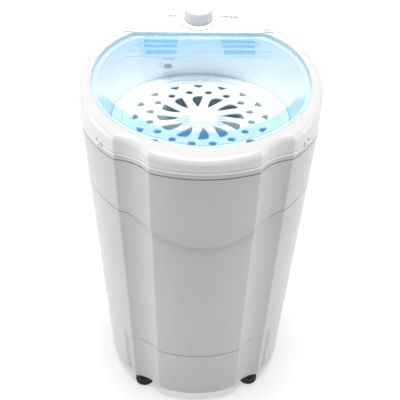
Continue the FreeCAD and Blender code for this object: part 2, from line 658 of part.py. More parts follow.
def turned_copies(label, make, count):
    """Equal pieces round the upright axis: make(name, x, y) is called once for each place."""
    pieces = []
    for index in range(count):
        angle = f"({90 + 360 / count * index} * 1deg)"
        x, y = f"spring_circle * cos{angle}", f"spring_circle * sin{angle}"
        pieces.append(make(f"{label}_{index + 1}", x, y))
    return group(label, pieces)


def spring_seat(label, x, y):
    """Rubber seat with a centre peg for one spring."""
    seat = cylinder(label + "_seat", "spring_radius + 4", "spring_low - pan_low - pan_wall", x, y,
                    "pan_low + pan_wall")
    peg = cylinder(label + "_peg", "spring_radius - spring_wire - 1", "8", x, y, "spring_low - 1")
    return fuse(label, [seat, peg])


def suspension_spring(label, x, y):
    """Coil spring: a circle swept along a helix."""
    helix = doc.addObject("Part::Helix", label + "_helix")
    bind(helix, Pitch="spring_pitch", Height="spring_high - spring_low - 2 * spring_wire - 0.4",
         Radius="spring_radius")
    wire = doc.addObject("Part::Circle", label + "_wire")
    wire.Placement = Placement(Vector(), Rotation(Vector(1, 0, 0), 90))
    bind(wire, Radius="spring_wire")
    wire.setExpression("Placement.Base.x", bound("spring_radius"))
    coil = doc.addObject("Part::Sweep", label)
    coil.Sections = [wire]
    coil.Spine = (helix, [])
    coil.Solid = True
    coil.Frenet = True
    return move(coil, x, y, "spring_low + spring_wire + 0.2")


def build_drive():
    """Suspended motor, its shaft and rotor, brake drum and brake lever."""
    turned_copies("spring_seats", spring_seat, 3)
    turned_copies("suspension_springs", suspension_spring, 3)
    plate = cylinder("motor_plate_blank", "plate_radius", "plate_thickness", z="spring_high")
    hole = cylinder("motor_plate_hole", "bearing_radius + 6", "plate_thickness", z="spring_high")
    cut("motor_plate", plate, hole)
    low, high, wall = "motor_low", "motor_high", "motor_wall"
    seat, rim = "bearing_radius", "bearing_radius + 3"
    revolve("motor_housing", [(seat, low), ("motor_radius", low), ("motor_radius", high), (seat, high),
                              (seat, f"{high} - bearing_seat"), (rim, f"{high} - bearing_seat"),
                              (rim, f"{high} - {wall}"), (f"motor_radius - {wall}", f"{high} - {wall}"),
                              (f"motor_radius - {wall}", f"{low} + {wall}"), (rim, f"{low} + {wall}"),
                              (rim, f"{low} + bearing_seat"), (seat, f"{low} + bearing_seat")])
    for label, start in (("motor_bearing_low", f"{low} + 1"), ("motor_bearing_high", f"{high} - 9")):
        bore, outside, top = "shaft_radius + shaft_gap", "bearing_radius - 0.02", f"{start} + bearing_height"
        revolve(label, [(bore, start), (outside, start), (outside, top), (bore, top)])
    revolve("motor_stator", [("rotor_radius + air_gap", "stator_low"), ("stator_radius", "stator_low"),
                             ("stator_radius", "stator_high"), ("rotor_radius + air_gap", "stator_high")])
    revolve("motor_rotor", [("shaft_radius", "stator_low"), ("rotor_radius", "stator_low"),
                            ("rotor_radius", "stator_high"), ("shaft_radius", "stator_high")])
    revolve("drive_shaft", [("0", f"{low} + 0.5"), ("shaft_radius", f"{low} + 0.5"), ("shaft_radius", "170"),
                            ("shaft_radius - 1", "170"), ("shaft_radius - 1", "184"), ("0", "184")])
    revolve("brake_drum", [("shaft_radius", "drum_low"), ("drum_radius", "drum_low"),
                           ("drum_radius", "drum_high"), ("drum_radius - 4", "drum_high"),
                           ("drum_radius - 4", "drum_low + 4"), ("14", "drum_low + 4"), ("14", "drum_high"),
                           ("shaft_radius", "drum_high")])
    post_height = "lever_low + lever_thick + 3 - motor_high"
    cylinder("brake_post", "post_radius", post_height, "post_x", "post_y", high)
    arm = block("lever_arm", "10", "52", "lever_thick", "post_x - 5", "post_y - 10", "lever_low")
    shoe = block("lever_shoe", "9", "16", "12", "38", "-8", "lever_low")
    bore = cylinder("lever_bore", "post_radius + shaft_gap", "20", "post_x", "post_y", "lever_low - 5")
    cut("brake_lever", fuse("lever_blank", [arm, shoe]), bore)
    plate_top, band_low = "spring_high + plate_thickness", "spring_high + plate_thickness + 20"
    cylinder("capacitor", "can_radius", "can_height", "-can_x", "-can_y", plate_top)
    band = cylinder("clip_band", "clip_radius", "8", "-can_x", "-can_y", band_low)
    hole = cylinder("clip_hole", "can_radius + 0.1", "8", "-can_x", "-can_y", band_low)
    leg = block("clip_leg", "12", "2.5", "28", "-can_x - 6", "-can_y - clip_radius - 1.5", plate_top)
    cut("capacitor_clip", fuse("clip_blank", [band, leg]), hole)


def build_tub():
    """Tub with its drain spout, shaft seal and gasket."""
    radius, wall = "tub_radius", "tub_wall"
    tub = revolve("tub_blank", [("seal_bore", "tub_low"), (radius, "tub_low"), (radius, "tub_high - 3"),
                                ("tub_flange", "tub_high - 3"), ("tub_flange", "tub_high"),
                                (f"{radius} - {wall}", "tub_high"),
                                (f"{radius} - {wall}", "tub_low + tub_floor"),
                                ("seal_bore", "tub_low + tub_floor")])
    turn = Rotation(Vector(1, 0, 0), -90)
    start = "case_lip_radius"
    hole = cylinder("tub_drain_hole", "drain_bore - 1", "60", "drain_x", start, "drain_height", turn)
    reach = case_inner(size("tub_high - 3")) - 0.4
    ring = fluted_solid(reach, size("tub_high - 3"), reach, size("tub_high"))
    ring = ring.cut(Part.makeCylinder(size("tub_radius - 1"), 400, Vector(0, 0, 300)))
    cut("tub", fuse("tub_solid", [tub, feature("tub_shelf", ring)]), hole)
    collar = cylinder("spout_collar", "drain_collar", f"drain_collar_end - {start}", "drain_x", start,
                      "drain_height", turn)
    barb = cylinder("spout_barb", "drain_radius", "drain_end - drain_collar_end + 1", "drain_x",
                    "drain_collar_end - 1", "drain_height", turn)
    spout = fuse("spout_outside", [collar, barb])
    inside = cylinder("spout_inside", "drain_bore", "100", "drain_x", f"{start} - 2", "drain_height", turn)
    tub_space = cylinder("spout_tub_space", f"{radius} + 0.1", "60", z="drain_height - 30")
    cut("drain_spout", spout, group("spout_tools", [inside, tub_space]))
    revolve("shaft_seal", [("shaft_radius + 0.05", "144"), ("14", "144"), ("14", "tub_low - 3"),
                           ("30", "tub_low - 3"), ("30", "tub_low"), ("seal_bore - 0.05", "tub_low"),
                           ("seal_bore - 0.05", "157"), ("shaft_radius + 0.05", "157")])
    revolve("tub_gasket", [("funnel_radius + 4", "tub_high"), ("tub_flange", "tub_high"),
                           ("tub_flange", "funnel_bottom + 1"), ("funnel_radius + 4", "funnel_bottom + 1")])


def build_basket():
    """Spin basket with its balance ring, hub, nut, wash cone and lift-off disc."""
    low, high = "basket_low", "basket_high"
    wall, floor = "basket_wall", "basket_low + basket_floor"
    blank = revolve("basket_blank", [("hub_radius + 0.1", low), ("basket_radius_low", low),
                                     ("basket_radius_high", high), (f"basket_radius_high - {wall}", high),
                                     (f"basket_radius_low - {wall}", floor), ("hub_radius + 0.1", floor)])
    holes = []
    rows, columns = int(size("hole_rows")), int(size("hole_columns"))
    spacing = size("(basket_high - basket_low) / (hole_rows + 1)")
    for row_index in range(rows):
        height = size(low) + spacing * (row_index + 1)
        for column in range(columns // 2):
            direction = polar(1.0, 360.0 * (column + 0.5 * (row_index % 2)) / columns)
            start = direction * -150.0 + Vector(0, 0, height)
            holes.append(Part.makeCylinder(size("hole_radius"), 300, start, direction))
    cut("spin_basket", blank, feature("basket_holes", Part.makeCompound(holes)))
    revolve("balance_ring", [("ring_ledge", high), ("ring_outer", high), ("ring_outer", "ring_high - 4"),
                             ("ring_outer - 3", "ring_high"), ("ring_inner", "ring_high"),
                             ("ring_inner", "ledge_height"), ("ring_ledge", "ledge_height")])
    revolve("basket_hub", [("shaft_radius", "hub_low"), ("hub_radius", "hub_low"), ("hub_radius", floor),
                           ("hub_flange", floor), ("hub_flange", "170"), ("shaft_radius", "170")])
    nut = doc.addObject("Part::Prism", "hub_nut_blank")
    nut.Polygon = 6
    bind(nut, Circumradius="10", Height="8")
    move(nut, z="170")
    cut("hub_nut", nut, cylinder("hub_nut_bore", "shaft_radius - 1", "8", z="170"))
    top = f"{floor} + cone_height"
    cone = revolve("cone_shell", [("0", top), ("14", f"{top} - 3"), ("28", f"{top} - 18"),
                                  ("cone_radius - 8", f"{floor} + 9"), ("cone_radius", floor),
                                  ("cone_radius - 4", floor), ("cone_radius - 11", f"{floor} + 6"),
                                  ("26", f"{top} - 21"), ("12", f"{top} - 6"), ("0", f"{top} - 3")])
    fins = []
    for index in range(4):
        fin = Part.makeBox(26, 4, 26, Vector(32, -2, size(floor) + 5))
        fin.rotate(Vector(), Vector(0, 0, 1), 45 + 90 * index)
        fins.append(feature(f"cone_fin_{index + 1}", fin))
    fuse("wash_cone", [cone] + fins)
    spin_disc()


def cover_screws():
    """Four small screws round the cover's lower edge."""
    screws = []
    for angle in COVER_SCREW_ANGLES:
        direction = polar(1.0, angle)
        start = polar(size("band_radius - 2.5"), angle, size("band_top - cover_screw_drop"))
        head = Part.makeCylinder(size("cover_screw_radius"), 3.2, start, direction)
        shank = Part.makeCylinder(size("cover_screw_radius - 1"), 6.0, start - direction * 5.5, direction)
        screws.append(head.fuse(shank))
    return Part.makeCompound(screws)


def rinse_spout():
    """Small square water spout on the back left of the funnel wall."""
    wide, wall, low, front = size("spout_size"), size("spout_wall"), size("spout_low"), size("spout_front")
    blank = Part.makeBox(wide, 30, wide, Vector(-size("spout_left"), front + 6, low))
    mouth = Part.makeBox(wide - 2 * wall, 30, 10, Vector(-size("spout_left - spout_wall"), front, low + 2))
    return blank.cut(mouth).common(funnel_solid(-0.05))


def switch_rod(radius, start, end):
    """Cylinder on the switch lever's axis between two x positions."""
    corner = Vector(start, size("switch_pivot_y"), size("switch_pivot_height"))
    return Part.makeCylinder(radius, end - start, corner, Vector(1, 0, 0))


def lid_switch():
    """Safety switch on a bracket with two bored ears, hung under the control deck."""
    low, left, right = size("switch_low"), size("switch_left"), size("switch_right")
    front, back, ear = size("switch_front"), size("switch_back"), 4.0
    case = Part.makeBox(right - left, back - front, size("switch_height"), Vector(left, front, low))
    ears = []
    for start in (left - ear, right):
        ears.append(Part.makeBox(ear, back - front + 7, 34, Vector(start, front - 7, low)))
        ears.append(Part.makeBox(ear, 9, 80, Vector(start, back - 9, low)))
    bore = switch_rod(size("switch_pin_radius + spindle_gap"), left - ear - 1, right + ear + 1)
    return case.fuse(ears).cut([bore, above_deck(-size("cover_wall"))]).removeSplitter()


def lid_switch_lever():
    """Lever with its own pin, which leaves the switch as the lid opens."""
    left, right, pivot = size("switch_left") + 1, size("switch_right") - 1, size("switch_pivot_y")
    arm = Part.makeBox(right - left, 3, 22, Vector(left, pivot - 1.5, size("switch_pivot_height") - 20))
    return arm.fuse(switch_rod(size("switch_pin_radius"), left - 4.5, right + 4.5)).removeSplitter()


build_base()
build_drive()
build_tub()
build_basket()
feature("outer_case", outer_case())
feature("top_cover", top_cover())
feature("dial_plate", dial_plate())
feature("timer_knob", timer_knob())
feature("timer_spindle", timer_spindle())
feature("timer_movement", timer_movement())
feature("lid", lid())
feature("lid_hinge_pins", lid_pins())
feature("cover_screws", cover_screws())
feature("rinse_spout", rinse_spout())
feature("lid_switch", lid_switch())
feature("lid_switch_lever", lid_switch_lever())

NODES = ("outer_case", "base_pan", "foot_front_left", "foot_front_right", "foot_back_left", "foot_back_right",
         "foot_screws", "foot_nuts", "cable_gland", "spring_seats", "suspension_springs", "motor_plate",
         "motor_housing", "motor_bearing_low", "motor_bearing_high", "motor_stator", "motor_rotor",
         "drive_shaft", "brake_drum", "brake_post", "brake_lever", "capacitor", "capacitor_clip", "tub",
         "drain_spout", "shaft_seal", "tub_gasket", "spin_basket", "balance_ring", "basket_hub", "hub_nut",
         "wash_cone", "basket_cover", "top_cover", "dial_plate", "timer_knob", "timer_spindle",
         "timer_movement", "lid", "lid_hinge_pins", "cover_screws", "rinse_spout", "lid_switch",
         "lid_switch_lever")

doc.recompute()
broken = [item.Label for item in doc.Objects if {"Invalid", "Error"} & set(item.State)]
assert not broken, f"features that failed: {broken}"
parts = {node: doc.getObjectsByLabel(node)[0] for node in NODES}
for node, part in parts.items():
    assert not part.Shape.isNull() and part.Shape.isValid(), f"{node} has no valid shape"
os.makedirs("parts", exist_ok=True)
for node, part in parts.items():
    part.Shape.exportStep(f"parts/{node}.step")
    print(node, len(part.Shape.Solids), round(part.Shape.Volume / 1000, 1), "cm3")
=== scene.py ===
"""Looks of a compact top-load washing machine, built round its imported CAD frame.

Lengths in this file are millimetres in the machine's own frame (floor centre, +Z up, front at -Y) and are
turned into metres where a mesh is written. Angles are degrees counted from the front towards +X.
"""
import logging
import math
from dataclasses import dataclass
from enum import Enum
from functools import lru_cache
from typing import Any, Callable, Sequence

import bpy
from mathutils import Matrix, Vector


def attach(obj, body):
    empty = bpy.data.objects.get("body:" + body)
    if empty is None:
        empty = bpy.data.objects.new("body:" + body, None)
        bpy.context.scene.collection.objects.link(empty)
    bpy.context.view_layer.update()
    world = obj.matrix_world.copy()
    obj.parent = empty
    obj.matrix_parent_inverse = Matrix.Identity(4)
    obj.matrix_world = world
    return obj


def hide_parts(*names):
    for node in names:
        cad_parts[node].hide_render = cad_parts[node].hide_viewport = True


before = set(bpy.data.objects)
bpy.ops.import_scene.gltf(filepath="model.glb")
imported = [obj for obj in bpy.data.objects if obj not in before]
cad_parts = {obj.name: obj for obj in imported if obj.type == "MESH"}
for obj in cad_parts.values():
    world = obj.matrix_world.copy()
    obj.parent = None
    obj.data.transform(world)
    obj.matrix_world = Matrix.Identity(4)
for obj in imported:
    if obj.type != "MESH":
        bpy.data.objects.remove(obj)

MM = 0.001
LOG = logging.getLogger("washer")
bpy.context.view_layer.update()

Ring = Callable[[float], Vector]


class Body(Enum):
    """Rigid bodies of the machine that a piece can ride on."""

    CABINET = "cabinet"
    SPINNER = "spinner"
    BASKET_COVER = "basket_cover"
    LID = "lid"
    KNOB = "timer_knob"


class Slot(Enum):
    """Material slots of the record."""

    WHITE = "white_plastic"
    BASKET = "basket_plastic"
    BLACK = "black_plastic"
    BLUE = "clear_blue"


# ---------------------------------------------------------------- small geometry rules


def smooth_step(low: float, high: float, value: float) -> float:
    """Eased 0 to 1 ramp between two limits."""
    share = min(max((value - low) / (high - low), 0.0), 1.0)
    return share * share * (3.0 - 2.0 * share)


def smooth_min(first: float, second: float, blend: float) -> float:
    """Smaller of two numbers, with the corner between them rounded over a width."""
    share = min(max(0.5 + 0.5 * (second - first) / blend, 0.0), 1.0)
    return second + (first - second) * share - blend * share * (1.0 - share)


def smooth_max(first: float, second: float, blend: float) -> float:
    """Larger of two numbers, with the corner between them rounded over a width."""
    return -smooth_min(-first, -second, blend)


def polar(radius: float, degrees: float, height: float = 0.0) -> Vector:
    """Point at a radius and an angle from the front towards +X."""
    angle = math.radians(degrees)
    return Vector((radius * math.sin(angle), -radius * math.cos(angle), height))


@dataclass(frozen=True)
class Plan:
    """Rules of the machine's plan and its slanted top.

    The case is a cone with a hollow flute at each of four corners; the top is a plane that rises to the back.
    """

    flute_start: float = 25.3
    flute_end: float = 44.1
    flute_depth: float = 0.0386
    crease: float = 0.0016
    front_height: float = 535.0
    reach: float = 190.0
    tilt: float = 9.57

    def flute(self, degrees: float) -> float:
        """Radius at an angle as a share of the panels' radius."""
        fold = abs((degrees + 180.0) % 360.0 - 180.0)
        fold = min(fold, 180.0 - fold)
        half = math.radians((self.flute_end - self.flute_start) / 2)
        off = math.radians(fold - (self.flute_start + self.flute_end) / 2)
        chord = math.sin(half)
        radius = (chord ** 2 + self.flute_depth ** 2) / (2 * self.flute_depth)
        distance = math.cos(half) - self.flute_depth + radius
        under = radius ** 2 - (distance * math.sin(off)) ** 2
        if under <= 0.0 or abs(off) > 2 * half:
            return 1.0
        return smooth_min(1.0, distance * math.cos(off) - math.sqrt(under), self.crease)

    def deck(self, depth: float) -> float:
        """Height of the slanted plane at a depth."""
        return self.front_height + (depth + self.reach) * math.tan(math.radians(self.tilt))

    def normal(self) -> Vector:
        """Unit normal of the slanted plane."""
        return Vector((0.0, -math.sin(math.radians(self.tilt)), math.cos(math.radians(self.tilt))))

    def on_deck(self, x: float, y: float, offset: float) -> Vector:
        """Point over or under the slanted plane, straight above or below a place on it."""
        return Vector((x, y, self.deck(y) + offset))


PLAN = Plan()


@dataclass(frozen=True)
class LidPlan:
    """Outline of the lid seen from above: a wide oval with a straight back between two rounded lobes."""

    half_width: float = 170.5
    half_depth: float = 153.0
    centre: float = -5.0
    back: float = 122.0
    lobe: float = 3.2
    lobe_start: float = 98.0
    lobe_end: float = 110.0
    front_power: float = 2.0
    back_power: float = 2.3
    oval_scale: float = 75.0
    corner: float = 5.0
    nearest: float = 10.0
    farthest: float = 340.0
    halvings: int = 34

    def excess(self, x: float, y: float) -> float:
        """How far outside the outline a place is; negative inside."""
        power = self.back_power if y > self.centre else self.front_power
        oval = (abs(x) / self.half_width) ** power + (abs(y - self.centre) / self.half_depth) ** power - 1.0
        line = self.back + self.lobe * smooth_step(self.lobe_start, self.lobe_end, abs(x))
        return smooth_max(oval * self.oval_scale, y - line, self.corner)

    @lru_cache(maxsize=None)
    def radius(self, degrees: float, centre_y: float = 0.0) -> float:
        """Distance from a centre on the middle line to the outline."""
        low, high = self.nearest, self.farthest
        for _ in range(self.halvings):
            middle = (low + high) / 2
            spot = polar(middle, degrees)
            if self.excess(spot.x, spot.y + centre_y) > 0.0:
                high = middle
            else:
                low = middle
        return low


LID = LidPlan()

# ---------------------------------------------------------------- mesh making


def deselect() -> None:
    """Leave edit mode and select nothing."""
    if bpy.context.object and bpy.context.object.mode != "OBJECT":
        bpy.ops.object.mode_set(mode="OBJECT")
    bpy.ops.object.select_all(action="DESELECT")


def take(piece: bpy.types.Object) -> None:
    """Make one object the only selected and active one."""
    deselect()
    piece.select_set(True)
    bpy.context.view_layer.objects.active = piece


def clean(piece: bpy.types.Object, merge: float = 1e-6, angle: float = 32.0) -> bpy.types.Object:
    """Merge doubles, point the faces outwards and shade smooth up to an angle.

    Args:
        piece: Mesh object.
        merge: Distance in metres under which vertices become one.
        angle: Sharpest angle in degrees that is still shaded smooth.

    Returns:
        The same object.
    """
    take(piece)
    bpy.ops.object.mode_set(mode="EDIT")
    bpy.ops.mesh.select_all(action="SELECT")
    bpy.ops.mesh.remove_doubles(threshold=merge)
    bpy.ops.mesh.normals_make_consistent(inside=False)
    bpy.ops.object.mode_set(mode="OBJECT")
    bpy.ops.object.shade_smooth_by_angle(angle=math.radians(angle))
    deselect()
    return piece


def swept_shell(name: str, rings: Sequence[Ring], columns: int = 360, closed: bool = True,
                caps: bool = False, angle: float = 32.0,
                painted_shade_highlight: dict[int, float] | None = None) -> bpy.types.Object:
    """Closed wall through rings: a circle extruded ring by ring, then brought onto its rules.

    Args:
        name: Object name.
        rings: Rules that give the place in millimetres for an angle in degrees, in order along the section.
        columns: Points round each ring.
        closed: Whether the last ring joins the first, as in a hollow wall.
        caps: Whether the first and last rings are filled.
        angle: Sharpest angle in degrees that is still shaded smooth.
        painted_shade_highlight: How much painted shade a ring gets in a groove, 0 to 1, or how much painted
            highlight on a bead or the funnel, 0 to -1, by ring number; stored for the finishes.

    Returns:
        The new object.
    """
    deselect()
    bpy.ops.mesh.primitive_circle_add(vertices=columns, radius=1.0, location=(0, 0, 0))
    piece = bpy.context.object
    piece.name = piece.data.name = name
    bpy.ops.object.mode_set(mode="EDIT")
    bpy.ops.mesh.select_all(action="SELECT")
    steps = len(rings) if closed else len(rings) - 1
    for _ in range(steps):
        bpy.ops.mesh.extrude_region_move(TRANSFORM_OT_translate={"value": (0.0, 0.0, 1.0)})
    bpy.ops.object.mode_set(mode="OBJECT")
    # Painted shade (positive marks) and painted highlight (negative marks), stored on every point for the
    # finishes.
    marks = piece.data.attributes.new("painted_shade_highlight", "FLOAT", "POINT")
    for vertex in piece.data.vertices:
        column = round(math.degrees(math.atan2(vertex.co.x, -vertex.co.y)) * columns / 360.0) % columns
        number = round(vertex.co.z) % len(rings)
        marks.data[vertex.index].value = (painted_shade_highlight or {}).get(number, 0.0)
        vertex.co = rings[number](column * 360.0 / columns) * MM
    if caps:
        bpy.ops.object.mode_set(mode="EDIT")
        bpy.ops.mesh.select_all(action="DESELECT")
        bpy.ops.mesh.select_non_manifold(extend=False)
        bpy.ops.mesh.edge_face_add()
        bpy.ops.object.mode_set(mode="OBJECT")
    return clean(piece, angle=angle)


def turned(profile: Sequence[tuple[float, float]]) -> list[Ring]:
    """Rings of a round piece about the upright axis, from (radius, height) pairs."""
    return [lambda degrees, r=radius, z=height: polar(r, degrees, z) for radius, height in profile]


def placed(piece: bpy.types.Object, matrix: Matrix) -> bpy.types.Object:
    """Move a piece by putting the matrix into its mesh."""
    piece.data.transform(matrix)
    piece.data.update()
    return piece


def deck_matrix(x: float, y: float, offset: float) -> Matrix:
    """Matrix that stands a piece, modelled upright at the origin, on the slanted plane."""
    spot = PLAN.on_deck(x, y, 0.0) + PLAN.normal() * offset
    return Matrix.Translation(spot * MM) @ Matrix.Rotation(math.radians(PLAN.tilt), 4, "X")


def rounded_bar(name: str, size: tuple[float, float, float], round_off: float,
                segments: int = 3) -> bpy.types.Object:
    """Bar with rounded edges, centred on the origin.

    Args:
        name: Object name.
        size: Length, width and height in millimetres.
        round_off: Bevel width in millimetres.
        segments: Faces across each bevel.

    Returns:
        The new object.
    """
    deselect()
    bpy.ops.mesh.primitive_cube_add(size=1.0, location=(0, 0, 0))
    piece = bpy.context.object
    piece.name = piece.data.name = name
    bpy.ops.object.mode_set(mode="EDIT")
    bpy.ops.mesh.select_all(action="SELECT")
    bpy.ops.transform.resize(value=tuple(side * MM for side in size))
    bpy.ops.mesh.bevel(offset=round_off * MM, segments=segments)
    bpy.ops.object.mode_set(mode="OBJECT")
    return clean(piece, merge=1e-7)


def joined(name: str, parts: Sequence[bpy.types.Object]) -> bpy.types.Object:
    """Join meshes into one object."""
    deselect()
    for part in parts:
        part.select_set(True)
    bpy.context.view_layer.objects.active = parts[0]
    bpy.ops.object.join()
    piece = bpy.context.object
    piece.name = piece.data.name = name
    deselect()
    return piece


def spline_plate(name: str, outlines: Sequence[Sequence[Vector]], thickness: float, round_off: float,
                 low: float) -> bpy.types.Object:
    """Flat plate with holes, its edges rounded, from closed outlines of which the first is the rim.

    Args:
        name: Object name.
        outlines: Closed outlines of places in millimetres in the level plane.
        thickness: Plate thickness in millimetres.
        round_off: Edge rounding in millimetres.
        low: Height of the underside in millimetres.

    Returns:
        The new mesh object.
    """
    curve = bpy.data.curves.new(name, "CURVE")
    curve.dimensions = "2D"
    curve.fill_mode = "BOTH"
    curve.extrude = (thickness / 2 - round_off) * MM
    curve.bevel_depth = round_off * MM
    curve.bevel_resolution = 2
    curve.offset = -round_off * MM
    for outline in outlines:
        spline = curve.splines.new("POLY")
        spline.points.add(len(outline) - 1)
        for point, place in zip(spline.points, outline):
            point.co = (place.x * MM, place.y * MM, 0.0, 1.0)
        spline.use_cyclic_u = True
    piece = bpy.data.objects.new(name, curve)
    bpy.context.scene.collection.objects.link(piece)
    take(piece)
    bpy.ops.object.convert(target="MESH")
    piece = bpy.context.object
    piece.name = piece.data.name = name
    placed(piece, Matrix.Translation((0, 0, (low + thickness / 2) * MM)))
    return clean(piece, merge=1e-6, angle=40.0)


# ---------------------------------------------------------------- finishes


class Term:
    """One shader value that maths can be written with."""

    def __init__(self, graph: "Graph", socket: Any) -> None:
        """Wrap an output socket of a graph."""
        self.graph = graph
        self.socket = socket

    def maths(self, operation: str, *values: Any) -> "Term":
        """Add a Math node over this value and others."""
        return self.graph.node("ShaderNodeMath", {"operation": operation}, *values)

    def __add__(self, other: Any) -> "Term":
        """Sum."""
        return self.maths("ADD", self, other)

    __radd__ = __add__

    def __sub__(self, other: Any) -> "Term":
        """Difference."""
        return self.maths("SUBTRACT", self, other)

    def __rsub__(self, other: Any) -> "Term":
        """Reflected difference."""
        return self.maths("SUBTRACT", other, self)

    def __mul__(self, other: Any) -> "Term":
        """Product."""
        return self.maths("MULTIPLY", self, other)

    __rmul__ = __mul__

    def ramp(self, low: float, high: float) -> "Term":
        """Eased 0 to 1 ramp between two limits."""
        settings = {"interpolation_type": "SMOOTHSTEP"}
        return self.graph.node("ShaderNodeMapRange", settings, self, low, high, 0.0, 1.0)


class Graph:
    """Node tree of one material."""

    def __init__(self, name: str) -> None:
        """Start an empty material."""
        self.material = bpy.data.materials.new(name)
        self.material.use_nodes = True
        self.tree = self.material.node_tree
        self.tree.nodes.clear()

    def node(self, kind: str, settings: dict[str, Any] | None = None, *values: Any, **named: Any) -> Term:
        """Add a node.

        Args:
            kind: Node type.
            settings: Properties set before the inputs.
            *values: Values or links for the inputs in order.
            **named: Values or links for inputs by name, with _ for a space.

        Returns:
            The node's first enabled output.
        """
        made = self.tree.nodes.new(kind)
        for name, value in (settings or {}).items():
            setattr(made, name, value)
        inputs = [socket for socket in made.inputs if socket.enabled]
        for socket, value in list(zip(inputs, values)) + [
                (made.inputs[name.replace("_", " ")], value) for name, value in named.items()]:
            if isinstance(value, Term):
                self.tree.links.new(value.socket, socket)
            elif value is not None:
                socket.default_value = value
        outputs = [socket for socket in made.outputs if socket.enabled]
        return Term(self, outputs[0]) if outputs else Term(self, None)

    def place(self) -> Term:
        """Object coordinates."""
        coordinates = self.node("ShaderNodeTexCoord")
        return Term(self, coordinates.socket.node.outputs["Object"])

    def stored(self, name: str) -> Term:
        """Number stored on the mesh under a name."""
        read = self.node("ShaderNodeAttribute", {"attribute_name": name})
        return Term(self, read.socket.node.outputs["Fac"])

    def axis(self, name: str) -> Term:
        """One object coordinate in metres."""
        split = self.node("ShaderNodeSeparateXYZ", None, self.place())
        return Term(self, split.socket.node.outputs[name])

    def noise(self, scale: float, detail: float = 3.0) -> Term:
        """Noise over the object's own coordinates."""
        return self.node("ShaderNodeTexNoise", None, Vector=self.place(), Scale=scale, Detail=detail)

    def mixed(self, factor: Term, first: Any, second: Sequence[float]) -> Term:
        """Colour between a fixed or linked colour and a fixed one."""
        made = self.tree.nodes.new("ShaderNodeMix")
        made.data_type = "RGBA"
        share, start, end = (socket for socket in made.inputs if socket.enabled)
        self.tree.links.new(factor.socket, share)
        if isinstance(first, Term):
            self.tree.links.new(first.socket, start)
        else:
            start.default_value = (*first, 1.0)
        end.default_value = (*second, 1.0)
        return Term(self, next(socket for socket in made.outputs if socket.enabled))

    def bump(self, height: Term, strength: float, distance: float) -> Term:
        """Normal from a height."""
        return self.node("ShaderNodeBump", None, Strength=strength, Distance=distance, Height=height)

    def output(self, shader: Term) -> bpy.types.Material:
        """Finish the material with a surface shader."""
        self.node("ShaderNodeOutputMaterial", None, Surface=shader)
        return self.material


@dataclass(frozen=True)
class MouldedPlastic:
    """Moulded plastic: faint tone drift, satin gloss that varies, a fine moulded texture, and painted shade
    and painted highlight from stored marks.
    """

    name: str
    colour: tuple[float, float, float]
    drift: tuple[float, float, float]
    roughness: float = 0.32
    texture: float = 0.08
    texture_scale: float = 900.0
    specular: float = 0.5
    groove_painted_shade: float = 0.42
    painted_highlight_colour: tuple[float, float, float] = (0.98, 0.98, 0.98)

    def build(self) -> bpy.types.Material:
        """Make the material."""
        graph = Graph(self.name)
        tone = graph.mixed(graph.noise(6.0).ramp(0.35, 0.7), self.colour, self.drift)
        # Painted shade darkens the colour where a positive mark is stored; painted highlight turns it near
        # white where the mark is negative.
        mark = graph.stored("painted_shade_highlight")
        tone = graph.mixed(mark.ramp(0.0, 1.0), tone, tuple(c * self.groove_painted_shade for c in self.colour))
        tone = graph.mixed((mark * -1.0).ramp(0.0, 1.0), tone, self.painted_highlight_colour)
        sheen = graph.noise(14.0) * 0.10 + (self.roughness - 0.05)
        grain = graph.noise(self.texture_scale, 2.0)
        normal = graph.bump(grain, self.texture, 0.0002)
        shader = graph.node("ShaderNodeBsdfPrincipled", None, Base_Color=tone, Roughness=sheen, Normal=normal,
                            Specular_IOR_Level=self.specular)
        return graph.output(shader)


